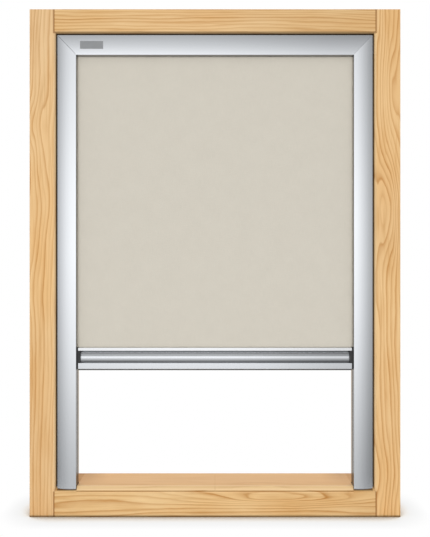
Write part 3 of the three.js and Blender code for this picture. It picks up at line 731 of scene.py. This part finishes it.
MEMBERS = {
    "left_stile": Member(
        axis=Z,
        pith=(-0.42, -0.01, 0.4),
        lean=(0.5, 0.9),
        ring=0.0062,
        drift=0.020,
        figure=0.98,
        eyes=(
            eye(-0.320, 0.700, 0.022, 0.042, 1.9),
            eye(-0.300, 0.560, 0.020, 0.050, -1.4),
            eye(-0.318, 0.400, 0.020, 0.060, 1.3),
        ),
        fade=(
            (0.048, (0.89, 0.873, 0.87)),
            (0.14, (0.925, 0.91, 0.91)),
            (0.226, (0.955, 0.945, 0.945)),
            (0.315, (0.965, 0.965, 0.97)),
            (0.405, (1.01, 1.01, 1.0)),
            (0.49, (1.02, 1.02, 1.02)),
            (0.67, (0.995, 1.0, 1.01)),
            (0.85, (0.96, 0.965, 1.01)),
        ),
    ),
    "right_stile": Member(
        axis=Z,
        pith=(0.405, -0.01, 0.4),
        lean=(0.8, -1.0),
        ring=0.0068,
        drift=0.022,
        figure=1.0,
        eyes=(
            eye(0.309, 0.552, 0.022, 0.080, 3.4),
            eye(0.318, 0.757, 0.030, 0.095, -2.6),
            eye(0.300, 0.075, 0.040, 0.050, 1.3),
        ),
        fade=(
            (0.048, (0.95, 0.94, 0.92)),
            (0.2, (0.98, 0.97, 0.96)),
            (0.31, (1, 1, 1)),
            (0.4, (1, 1, 0.99)),
            (0.49, (0.955, 0.94, 0.93)),
            (0.58, (0.97, 0.95, 0.93)),
            (0.67, (1, 0.99, 0.97)),
            (0.8, (1, 1, 1)),
        ),
    ),
    "top_rail": Member(
        axis=X,
        pith=(0, 0.0, 0.76),
        lean=(-0.4, 0.5),
        ring=0.0052,
        drift=0.030,
        figure=1.15,
        eyes=(),
        fade=(
            (-0.25, (0.97, 0.99, 1)),
            (0.0, (0.96, 0.96, 0.97)),
            (0.08, 0.92),
            (0.22, (0.89, 0.87, 0.83)),
        ),
    ),
    "bottom_rail": Member(
        axis=X,
        pith=(0, 0.0, -0.04),
        lean=(0.6, -0.5),
        ring=0.0075,
        drift=0.024,
        figure=1.3,
        eyes=(eye(0.112, 0.0335, 0.115, 0.0118, 4.0),),
        fade=(
            (-0.25, (0.9, 0.92, 0.91)),
            (0.1, (0.89, 0.9, 0.88)),
            (0.25, (0.86, 0.86, 0.83)),
        ),
    ),
}


def sash_tones():
    """Painted light and shade, and dark joint lines, on the stiles, the top rail and the bottom
    rail.
    """
    # Brown draws dark lines at the joints and where the sill's slope starts; dark and warm are
    # painted shade.
    brown, dark, warm = (140, 84, 22), (58, 42, 26), (150, 104, 60)
    # The pale colours are painted light on chamfers and edges; amber is painted shade that warms
    # the sill's top.
    light, painted_light, amber = (255, 228, 182), (255, 220, 170), (240, 172, 100)
    ahead, chamfer_back, slope_back = at_depth(-0.001), at_depth(0.0027), at_depth(0.0105)
    behind = at_depth(0.03)
    # Dark lines where the rails meet the stiles, partly the joint and partly painted shade in it.
    upper_joint = Tone(X, SEAM - 0.0005, 0.0023, 0.62, brown, Z, RAIL_INNER, SASH_TOP)
    lower_joint = upper_joint._replace(start=0, stop=SILL_FACE)
    # Painted shadow along the wood's foot, where it stands on the floor.
    foot = Tone(Z, 0, 0.0042, 0.72, dark)
    stiles = (
        upper_joint,
        lower_joint,
        foot,
        # Painted shade on the stiles' inner walls and chamfers by the gap round the blind, and
        # painted light on the chamfers.
        Tone(X, STILE_INNER, 0.0018, 0.64, dark, Y, chamfer_back, behind),
        Tone(X, STILE_INNER, 0.0012, 0.16, dark, Y, ahead, chamfer_back),
        Tone(X, SEAM - 0.0012, 0.0015, 0.36, light, Z, SILL_FACE + 0.004, RAIL_INNER),
    )
    top = (
        upper_joint,
        # Painted shade on the top rail's lower chamfer and on its underside over the gap.
        Tone(Z, RAIL_INNER, 0.0042, 0.5, dark, Y, at_depth(0.0002), at_depth(0.0036)),
        Tone(Z, RAIL_INNER, 0.0006, 0.8, dark, Y, at_depth(0.003), behind),
    )
    bottom = (
        lower_joint,
        foot,
        # Painted light on the sill's slope and on the edge below it, and a brown line where the
        # slope starts.
        Tone(Z, SILL_FACE + 0.0062, 0.0042, 0.62, painted_light, X, 0, COVER_LOW.x),
        Tone(Z, SILL_FACE + 0.0028, 0.0019, 0.9, painted_light, X, 0, COVER_LOW.x),
        Tone(Z, SILL_FACE - 0.0018, 0.0016, 0.2, painted_light, X, 0, COVER_LOW.x),
        Tone(Z, SILL_FACE + 0.0002, 0.0010, 0.55, brown, X, 0, COVER_LOW.x),
        # Painted shade on the slope under the covers' lower ends.
        Tone(Z, SILL_FACE + 0.0038, 0.0032, 0.8, dark, X, COVER_LOW.x, COVER_HIGH.x),
        # A painted highlight on the front edge of the sill's top.
        Tone(Y, at_depth(0.0092), 0.0022, 0.95, painted_light, Z, SILL_TOP - 0.002, SILL_TOP + 0.002),
        # Painted shade that makes the sill's top warmer, against the white of its sheen.
        Tone(Z, SILL_TOP, 0.0006, 0.36, amber, Y, slope_back, at_depth(0.09)),
        # Painted shade in the sill's back corners beside the covers.
        Tone(X, COVER_LOW.x + 0.012, 0.062, 0.4, warm, Y, at_depth(0.012), at_depth(0.16), 0.07),
    )
    return {"left_stile": stiles, "right_stile": stiles, "top_rail": top, "bottom_rail": bottom}


def make_sash():
    """The four wooden members, each from its own stretch of log."""
    tones = sash_tones()
    for node, member in MEMBERS.items():
        finish = pine(f"pine_{node}", member, tones[node])
        settle(softened(node, SASH_EDGE), "root", [node], finish)


# Covers, header and plate


def camber(share):
    """The face's depth at a share of its width from the outer edge: radius - sqrt(radius2 - s2)."""
    along = share * COVER_WIDTH - CAMBER_APEX
    return CAMBER_RADIUS - np.sqrt(CAMBER_RADIUS**2 - along**2)


def mitre_shift(sign):
    """How far up or down either side of a mitre stands back, for half of its gap."""
    return MITRE_GAPS[sign] / 2 * math.hypot(1, MITRE_RISE)


def face_strip(back_edge):
    """The cambered wall's section as (share of its width, depth), and the radii of its corners."""
    share = np.linspace(0, 1, CAMBER_STEPS + 1)
    front = np.column_stack([share, camber(share)])
    back = np.column_stack([share, camber(share) + WALL])[::-1]
    radii = np.zeros(2 * len(share))
    radii[[0, CAMBER_STEPS]] = FACE_EDGE
    radii[[CAMBER_STEPS + 1, -1]] = back_edge
    return np.vstack([front, back]), radii


def cover_leg(sign, near, away):
    """The section of a leg of the side cover, with the crest that snaps into the guide rail."""
    far = near + away * WALL
    root = camber((COVER_HIGH.x - near) / COVER_WIDTH) + WALL / 2
    section = [
        (near, root),
        (near, SNAP_DEPTH - SNAP_HALF),
        (near - away * SNAP_REACH, SNAP_DEPTH),
        (near, SNAP_DEPTH + SNAP_HALF),
        (near, LEG_DEPTH),
        (far, LEG_DEPTH),
        (far, root),
    ]
    return np.array([(sign * x, at_depth(depth)) for x, depth in section])


def make_side_cover(name, sign, finish):
    """A cambered face, mitred at the header and coped over the sill, with three legs behind it."""
    points, radii = face_strip(FACE_EDGE / 2)
    across = sign * (COVER_HIGH.x - points[:, 0] * COVER_WIDTH)
    outline = np.column_stack([across, at_depth(points[:, 1])])
    sill_gap = COVER_END_GAP * math.sqrt(2)

    def mitre(section):
        rise = (np.abs(section[:, 0]) - COVER_LOW.x) * MITRE_RISE
        return HEADER_LOW.z + rise - mitre_shift(sign)

    face = carried(
        [rounded(outline, radii)],
        lambda section: SILL_FACE + sill_gap + section[:, 1] - FRAME_FRONT,
        mitre,
        ALONG_Z,
    )
    low, high = GUIDE_LOW.z, GUIDE_HIGH.z
    near, far = sign * COVER_LOW.x, sign * (COVER_LOW.x + WALL)
    inner_leg = rectangle(near, far, at_depth(camber(1) + WALL / 2), at_depth(SLOT_FRONT))
    web_inner = GUIDE_HIGH.x - WEB_WALL
    legs = [
        cover_leg(sign, web_inner - FIT_GAP, -1),
        cover_leg(sign, RIB_OUTER + FIT_GAP, 1),
        rounded(inner_leg, (0, 0, FACE_EDGE, FACE_EDGE)),
    ]
    solids = [carried([leg], low, high, ALONG_Z) for leg in legs]
    cover = shown(f"{name}_side_cover_finished", together(face, *solids))
    even_shading(cover)
    settle(cover, "root", [f"{name}_side_cover"], finish)


def make_header(finish):
    """The header's cambered face between its mitres, and its shell with the fabric's slot."""
    points, radii = face_strip(0)
    height = HEADER_HIGH.z - points[:, 0] * HEADER_HEIGHT
    outline = np.column_stack([at_depth(points[:, 1]), height])

    def mitre(section, sign):
        gap = mitre_shift(sign) / MITRE_RISE
        return sign * (COVER_LOW.x + (section[:, 1] - HEADER_LOW.z) / MITRE_RISE - gap)

    face = carried(
        [rounded(outline, radii)],
        lambda section: mitre(section, -1),
        lambda section: mitre(section, 1),
        ALONG_X,
    )
    seat, back = at_depth(camber(0) + WALL - SHELL_SEAT), HEADER_HIGH.y
    low, high = HEADER_LOW.z, HEADER_HIGH.z
    shell_outline = [
        (seat, high),
        (back, high),
        (back, low),
        (at_depth(SLOT_FAR), low),
        (at_depth(SLOT_FAR), low + WALL),
        (back - WALL, low + WALL),
        (back - WALL, high - WALL),
        (seat, high - WALL),
    ]
    shell_radii = (0, SHELL_EDGE, SHELL_EDGE, LIP_EDGE, LIP_EDGE, 0, 0, 0)
    reach = HEADER_HIGH.x
    shell = carried([rounded(shell_outline, shell_radii)], -reach, reach, ALONG_X)
    lip_front = at_depth(camber(1) + WALL - SHELL_SEAT)
    lip_back = at_depth(SLOT_NEAR)
    lip = rectangle(lip_front, lip_back, low, low + WALL)

    def lip_end(section):
        share = (section[:, 0] - lip_front) / (lip_back - lip_front)
        return COVER_LOW.x - FIT_GAP + share * COVER_WIDTH

    lip_outline = rounded(lip, (0, LIP_EDGE, LIP_EDGE, 0))
    front_lip = carried([lip_outline], lambda section: -lip_end(section), lip_end, ALONG_X)
    header = shown("header_casing_finished", together(face, shell, front_lip))
    even_shading(header)
    settle(header, "root", ["header_casing"], finish)


def make_plate():
    """The small bare plate near the header's left end, bent to the camber."""
    height = np.linspace(PLATE_HIGH, PLATE_LOW, PLATE_LINES)
    face = at_depth(camber((HEADER_HIGH.z - height) / HEADER_HEIGHT))
    front = np.column_stack([face - PLATE_THICKNESS, height])
    back = np.column_stack([face + PLATE_THICKNESS, height])[::-1]
    solid = carried([np.vstack([front, back])], PLATE_LEFT, PLATE_RIGHT, ALONG_X)
    plate = shown("header_plate", solid)
    bevelled(plate, PLATE_THICKNESS / 2, 2)
    even_shading(plate)
    grey = moulded("plate_grey", (136, 138, 140), (154, 156, 158), 0.5, 2400, 0.00001)
    settle(plate, "root", [], grey)


# Bar


def make_bar(finish):
    """The extruded bar, with its grip groove, the keyhole for the hem and the slot for the seal."""
    front, back = BAR_LOW.y, BAR_HIGH.y
    low, high = BAR_LOW.z, BAR_HIGH.z
    radius = (GROOVE_HEIGHT**2 / 4 + GROOVE_DEPTH**2) / (2 * GROOVE_DEPTH)
    centre = (front + GROOVE_DEPTH - radius, high - UPPER_LIP - GROOVE_HEIGHT / 2)
    reach = math.degrees(math.asin(GROOVE_HEIGHT / 2 / radius))
    groove = arc(centre, radius, reach, -reach, GROOVE_STEPS)
    hem = (FABRIC_LOW.y + FABRIC_HIGH.y) / 2
    keyhole = (hem, high - KEYHOLE_DROP)
    mouth = math.degrees(math.asin(KEYHOLE_SLOT / KEYHOLE_RADIUS))
    keyhole_arc = arc(keyhole, KEYHOLE_RADIUS, 90 - mouth, mouth - 270, KEYHOLE_STEPS)
    middle = (front + back) / 2
    seal_across = (SEAL_NECK, SEAL_NECK, SEAL_HEAD, SEAL_HEAD)
    seal_up = (0, SEAL_NECK_HEIGHT, SEAL_NECK_HEIGHT, SEAL_HEAD_HEIGHT)
    half_seal = np.column_stack([seal_across, seal_up])
    seal = np.vstack([half_seal * (-1, 1), half_seal[::-1]]) + (middle, low)
    stretches = [
        ([(front, low)], BAR_CORNER),
        (seal, 0),
        ([(back, low), (back, high)], BAR_CORNER),
        ([(hem + KEYHOLE_SLOT, high)], GROOVE_EDGE),
        (keyhole_arc, 0),
        ([(hem - KEYHOLE_SLOT, high)], GROOVE_EDGE),
        ([(front, high)], BAR_CORNER),
        (groove[:1], GROOVE_EDGE),
        (groove[1:-1], 0),
        (groove[-1:], GROOVE_EDGE),
    ]
    corners = np.vstack([points for points, _ in stretches])
    radii = np.concatenate([np.full(len(points), size) for points, size in stretches])
    inner = radius + WALL
    hollow_front, hollow_back = front + WALL, back - WALL
    hollow_low, hollow_high = low + HOLLOW_LOW, low + HOLLOW_HIGH
    rise = math.degrees(math.asin((hollow_high - centre[1]) / inner))
    drop = math.degrees(math.acos(min(1, (hollow_front - centre[0]) / inner)))
    bulge = arc(centre, inner, rise, -drop, HOLLOW_STEPS)
    square = [(hollow_front, hollow_low), (hollow_back, hollow_low), (hollow_back, hollow_high)]
    hollow = np.vstack([square, bulge])
    solid = carried([rounded(corners, radii), hollow], BAR_LOW.x, BAR_HIGH.x, ALONG_X)
    bar = shown("bottom_bar_finished", solid)
    even_shading(bar)
    settle(bar, "bottom_bar", ["bottom_bar"], finish)


# Cloth


def make_fabric(finish):
    """The panel between the roller and the bar, on a grid of u across and rows from the hem up.

    x = half width times u, drawn in at the hem. The depth has a wave of under half a millimetre,
    the sum of two slow sines. It dies out as 1 - u4 to the sides, and towards the bar and the
    roller as sin(pi share) to the 0.7.
    """
    columns, rows = 61, 180
    hem = [FABRIC_LOW.z, PANEL_LOW - FIT_GAP]
    levels = np.concatenate([hem, np.linspace(PANEL_LOW, FABRIC_HIGH.z, rows)])
    u = np.linspace(-1, 1, columns)
    half = np.where(levels < PANEL_LOW - FIT_GAP / 2, HEM_HALF, FABRIC_HIGH.x)
    across = u[None, :] * half[:, None]
    height = np.repeat(levels[:, None], columns, 1)
    share = np.clip((height - PANEL_LOW) / (FABRIC_HIGH.z - PANEL_LOW), 0, 1)
    fade = (1 - (across / FABRIC_HIGH.x) ** 4) * np.sin(np.pi * share) ** 0.7
    ripple = np.sin(9 * share + 2.1 * u) + 0.6 * np.sin(23 * share - 3.4 * u + 1.3)
    middle = (FABRIC_LOW.y + FABRIC_HIGH.y) / 2
    depth = middle + FABRIC_WAVE * fade * ripple
    points = np.stack([across, depth, height], 2).reshape(-1, 3)
    faces = grid_faces(len(levels), columns)
    panel = shown("blind_fabric_sheet", (points, faces), points[:, [X, Z]])
    thickened(panel, FABRIC_THICKNESS)
    panel.data.materials.append(finish)
    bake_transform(panel)
    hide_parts("blind_fabric")


def make_roll(finish):
    """The fabric on the tube: a spiral that grows by one thickness a turn, from the tube outwards.

    At arc length s the radius is sqrt(inner2 + s thickness / pi), and the turn is 2 pi times its
    growth over the thickness.
    """
    rows = 220
    inner = ROLL_INNER + FABRIC_THICKNESS / 2
    length = np.linspace(0, WOUND_LENGTH, rows)
    radius = np.sqrt(inner**2 + length * FABRIC_THICKNESS / math.pi)
    turn = 2 * math.pi * (radius - radius[-1]) / FABRIC_THICKNESS - math.pi
    across = np.linspace(FABRIC_LOW.x, FABRIC_HIGH.x, 3)
    points = np.empty((rows, len(across), 3))
    points[:, :, X] = across
    points[:, :, Y] = (ROLLER_AXIS.y + radius * np.cos(turn))[:, None]
    points[:, :, Z] = (ROLLER_AXIS.z + radius * np.sin(turn))[:, None]
    uv = np.column_stack([np.tile(across, rows), np.repeat(length, len(across))])
    solid = (points.reshape(-1, 3), grid_faces(rows, len(across)))
    roll = shown("fabric_roll_wound", solid, uv, WINDING_ANGLE)
    thickened(roll, WOUND_THICKNESS)
    settle(roll, "roller", ["fabric_roll"], finish)


# Spring


def make_spring(finish):
    """The torsion spring: a round wire along a helix on the roller's axis.

    The line is (x, R cos t, R sin t) with x rising evenly, and the wire is drawn round it with the
    radial direction and its cross product with the tangent.
    """
    curls, steps, sides, wire = 24, 28, 10, 0.0006
    mean = (SPRING_HIGH.z - SPRING_LOW.z) / 2 - wire
    share = np.linspace(0, 1, curls * steps + 1)
    turn = 2 * math.pi * curls * share
    start, stop = SPRING_LOW.x + wire, SPRING_HIGH.x - wire
    radial = np.column_stack([np.zeros_like(turn), np.cos(turn), np.sin(turn)])
    line = mean * radial + (start + share * (stop - start))[:, None] * np.array([1, 0, 0])
    line[:, Y] += ROLLER_AXIS.y
    line[:, Z] += ROLLER_AXIS.z
    pitch = np.full_like(turn, (stop - start) / (2 * math.pi * curls))
    tangent = np.column_stack([pitch, -mean * np.sin(turn), mean * np.cos(turn)])
    tangent /= np.linalg.norm(tangent, axis=1, keepdims=True)
    other = np.cross(tangent, radial)
    angle = np.linspace(0, 2 * math.pi, sides, endpoint=False)
    cosine, sine = np.cos(angle)[None, :, None], np.sin(angle)[None, :, None]
    ring = cosine * radial[:, None] + sine * other[:, None]
    points = (line[:, None] + wire * ring).reshape(-1, 3)
    faces = [quad[::-1] for quad in grid_faces(len(share), sides, closed=True)]
    faces += [list(range(sides)), list(range(len(points) - sides, len(points)))[::-1]]
    spring = shown("roller_spring_wound", (points, faces), None, WINDING_ANGLE)
    settle(spring, "root", ["roller_spring"], finish)


# Metals of the extrusions


def cover_metal():
    """The side covers' aluminium, with painted shade on its edges and its lower end, and inner
    sides warmed by painted shade and a painted reflection of the wood.
    """
    ahead = at_depth(-0.001)
    tones = (
        # Painted shade on the inner edge, then the inner side warmed as painted shade and a painted
        # reflection of the wood.
        Tone(X, COVER_LOW.x, 0.0009, 0.9, (94, 90, 84), Y, at_depth(0.0006), at_depth(0.007)),
        Tone(X, COVER_LOW.x, 0.0009, 0.9, (172, 160, 142), Y, at_depth(0.007), at_depth(0.02)),
        # Painted shade on the front edges and on the lower end.
        Tone(X, COVER_LOW.x, 0.0008, 0.7, PAINTED_SHADE, Y, ahead, at_depth(0.0010)),
        Tone(X, COVER_HIGH.x, 0.0014, 0.4, PAINTED_SHADE, Y, ahead, at_depth(0.01)),
        Tone(Z, SILL_FACE + 0.0029, 0.0022, 0.9, PAINTED_SHADE),
    )
    return anodised("aluminium_cover", DRAWN_UP, tones)


def header_metal():
    """The header's aluminium, with painted shade along its lower edge, and darker to the right as
    painted shade.
    """
    # Painted shade along the lower edge, where the slot lies behind it.
    painted_underside_shade = Tone(Z, HEADER_LOW.z, 0.0010, 0.75, PAINTED_SHADE, Y, at_depth(0.0010), at_depth(0.03))
    # The level falls to the right, a painted shade.
    left = ((-0.19, 1.0), (-0.02, 0.936), (0.055, 0.897))
    right = ((0.126, 0.858), (0.2, 0.82), (0.27, 0.826))
    shade = (228, 231, 235)
    return anodised("aluminium_header", DRAWN_ACROSS, (painted_underside_shade,), shade, (*left, *right))


def bar_metal():
    """The bar's aluminium: a painted highlight on the upper lip, painted shade at the groove's
    edges, and darker to the right as painted shade.
    """
    groove_top = BAR_HIGH.z - UPPER_LIP
    in_groove = (Y, BAR_LOW.y + 0.0005, BAR_HIGH.y)
    tones = (
        # A painted highlight on the upper lip, and painted shade at the groove's top and bottom
        # edges.
        Tone(Z, BAR_HIGH.z - 0.0028, 0.0048, 0.4, (255, 255, 255)),
        Tone(Z, groove_top, 0.0064, 0.6, PAINTED_SHADE, *in_groove),
        Tone(Z, groove_top - GROOVE_HEIGHT, 0.0060, 0.6, PAINTED_SHADE, *in_groove),
    )
    # The level falls to the right, a painted shade.
    fade = ((-0.02, 1.0), (0.06, 0.98), (0.1, 0.95), (0.135, 0.9), (0.17, 0.875), (0.205, 0.84))
    return anodised("aluminium_bar", DRAWN_ACROSS, tones, SATIN, fade)


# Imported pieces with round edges


def make_small_pieces(steel):
    """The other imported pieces, by the width of their round edges, their body, slot and finish.

    The bar's plugs are drawn out, to fill less of the groove's ends.
    """
    level = anodised("aluminium_level", DRAWN_ACROSS)
    # The guide rails' tan colour is painted shade and a painted reflection of the wood.
    guide = anodised("aluminium_guide_painted_shade", DRAWN_UP, (), (174, 154, 130))
    black = moulded("dark_plastic", (38, 38, 39), (66, 66, 66), 0.52, 1500, 0.00004)
    rubber = moulded("seal_rubber", (24, 24, 25), (44, 44, 44), 0.7, 900, 0.00002)
    felt = felted("felt")
    fixed = (PLASTIC_EDGE, "root", "dark_plastic", black)
    sliding = (PLASTIC_EDGE, "bottom_bar", "dark_plastic", black)
    turning = (TURNED_EDGE, "roller", "dark_plastic", black)
    shaft = (TURNED_EDGE, "root", "steel", steel)
    screw = (METAL_EDGE, "root", "steel", steel)
    pieces = {
        "bar_seal": (PLASTIC_EDGE, "bottom_bar", "seal_rubber", rubber),
        "fabric_spline": (0, "bottom_bar", "dark_plastic", black),
        "roller_tube": (0, "roller", "aluminium", level),
        "idle_plug": turning,
        "bearing_plug": turning,
        "spring_anchor_plug": turning,
        "idle_pin": shaft,
        "spring_arbor": shaft,
    }
    paired = {
        "guide_rail": (METAL_EDGE, "root", "aluminium", guide),
        "guide_foot": fixed,
        "header_bracket": fixed,
        "bar_plug": sliding,
        "guide_shoe": sliding,
        "friction_pad": (PLASTIC_EDGE, "bottom_bar", "felt", felt),
        "pad_spring": (LEAF_EDGE, "bottom_bar", "steel", steel),
        **{f"rail_screw_{i}": screw for i in (1, 2, 3)},
        **{f"bracket_screw_{i}": screw for i in (1, 2)},
    }
    for name, _ in SIDES:
        pieces.update({f"{name}_{kind}": row for kind, row in paired.items()})
    for node, (width, body, slot, finish) in pieces.items():
        piece = softened(node, width, 2)
        if node.endswith("bar_plug"):
            drawn_out(piece, BAR_HIGH.x - GROOVE_PLUG, GROOVE_PLUG - GROOVE_PLUG_SHOWN)
        settle(piece, body, [node], finish)


# Camera, floor and light


def make_camera():
    """The photograph's view: level and square on."""
    lens = bpy.data.cameras.new("camera")
    lens.lens = LENS
    lens.sensor_width = SENSOR
    lens.shift_y = LENS_SHIFT
    lens.clip_end = 20
    camera = in_scene("camera", lens)
    camera.location = (0, FRAME_FRONT - VIEW_DISTANCE, VIEW_HEIGHT)
    camera.rotation_euler = (math.pi / 2, 0, 0)
    bpy.context.scene.camera = camera


def make_floor():
    """A pale table top, lit like the object beside it and white farther off, with a contact shadow.

    Where it is seen, straight or in metal, it glows by itself, less where little of the sky is open
    to it, and it is partly matt beside the sash. Other rays meet a matt white.
    """
    corners = rectangle(-FLOOR_REACH, FLOOR_REACH, FLOOR_FRONT, FLOOR_REACH)
    floor = shown("floor", (np.pad(corners, ((0, 0), (0, 1))), [[0, 1, 2, 3]]))
    material, wire = new_finish("pale_floor")
    rays = ("Is Camera Ray", "Is Glossy Ray", "Is Transmission Ray")
    straight, mirrored, through = [wire.node("LightPath", output=ray) for ray in rays]
    seen = (straight + mirrored + through).maths("MINIMUM", 1.0)
    x, y, _ = object_place(wire).parts()
    beside = (abs(x) - FRAME_HIGH.x).maths("MAXIMUM", abs(y) - FRAME_HIGH.y)
    near = (beside / NEAR_FLOOR).ramp((0.2, 0.3), (1.0, 0.0))
    occlusion = {"Distance": SHADOW_REACH}
    open_sky = wire.node("AmbientOcclusion", {"samples": 12}, occlusion, output="AO")
    shaded = ((0.45, 0.12), (0.56, 0.64), (0.6, 0.83), (0.64, 0.88))
    contact = open_sky.ramp(*shaded, (0.76, 0.9), (0.85, 0.92), (0.94, 0.96), (1.0, 1.0))
    matt = wire.node("BsdfDiffuse", (), {"Color": tint(240, 240, 240)})
    # A painted warm tint in the floor's glow, deeper where the contact shadow is deeper.
    amber, cream, white = tint(255, 228, 200), tint(255, 247, 234), (1, 1, 1, 1)
    shadow_warmth = open_sky.ramp((0.54, amber), (0.62, cream), (0.76, white))
    glow = wire.node("Emission", (), {"Color": shadow_warmth, "Strength": contact})
    both = wire.node("MixShader", (), {0: seen * (1 - near), 1: matt, 2: glow})
    wire.node("OutputMaterial", (), {"Surface": both})
    floor.data.materials.append(material)


def make_studio():
    """The room that the metal reflects: a bright panel in front, dim sides and a white wall behind.

    Its level is a profile of the bearing times a profile of the height, with both angles as shares
    of a whole turn and a half turn. The camera and transmission rays see plain white.
    """
    world = bpy.data.worlds.new("studio")
    bpy.context.scene.world = world
    wire = bare_wire(world)
    x, y, z = wire.node("TexCoord", output="Generated").parts()
    bearing = x.maths("ARCTAN2", 0 - y) / (2 * math.pi) + 0.5
    height = z.maths("ARCSINE") / math.pi + 0.5
    left = ((0.3, 0.25), (0.395, 0.36), (0.412, 0.58), (0.433, 0.73), (0.455, 0.88), (0.486, 1.0))
    right = ((0.514, 0.98), (0.535, 0.81), (0.555, 0.67), (0.576, 0.51), (0.6, 0.36), (0.7, 0.22))
    round_about = bearing.ramp(*left, *right)
    below = ((0.08, 0.18), (0.2, 0.28), (0.236, 0.34), (0.32, 0.42), (0.355, 0.33), (0.385, 0.27))
    ahead = ((0.402, 0.35), (0.422, 0.55), (0.483, 0.92), (0.528, 1.0), (0.564, 0.78))
    above = ((0.602, 0.66), (0.644, 0.57), (0.686, 0.49), (0.73, 0.41), (0.8, 0.38), (1.0, 0.3))
    up_and_down = height.ramp(*below, *ahead, *above)
    behind = y.ramp((0.15, 0.0), (0.6, 0.8))
    level = round_about * up_and_down * 1.44 + behind
    path = "LightPath"
    camera_ray = wire.node(path, output="Is Camera Ray")
    unlit = camera_ray + wire.node(path, output="Is Transmission Ray")
    strength = level + unlit * (1 - level)
    backdrop = wire.node("Background", (), {"Color": (1, 1, 1, 1), "Strength": strength})
    wire.node("OutputWorld", (), {"Surface": backdrop})


def make_lamps():
    """Two soft lamps in front and one over the back, aimed at the middle of the sash, in watts."""
    lamps = (
        ("key", (-0.45, -3.1, 0.74), 0.9, 25.5),
        ("front", (0.3, -3.2, 0.3), 1.1, 27.5),
        ("window", (0, 1.4, 1.8), 2.4, 22.5),
    )
    for name, place, size, power in lamps:
        lamp = bpy.data.lights.new(name, "AREA")
        lamp.size = size
        lamp.energy = power
        holder = in_scene(name, lamp)
        holder.location = place
        aim = Vector((0, 0, SASH_TOP / 2)) - Vector(place)
        holder.rotation_euler = aim.to_track_quat("-Z", "Y").to_euler()
        holder.visible_glossy = False


def main():
    """The view and the room, then every piece with its finish."""
    bpy.context.scene.view_settings.view_transform = "Standard"
    make_camera()
    make_floor()
    make_studio()
    make_lamps()
    metal = cover_metal()
    weave = cloth("blind_weave", (219, 213, 200), (202, 196, 183))
    steel = plated("zinc_steel")
    make_sash()
    for name, sign in SIDES:
        make_side_cover(name, sign, metal)
    make_header(header_metal())
    make_plate()
    make_bar(bar_metal())
    make_fabric(weave)
    make_roll(weave)
    make_spring(steel)
    make_small_pieces(steel)


main()
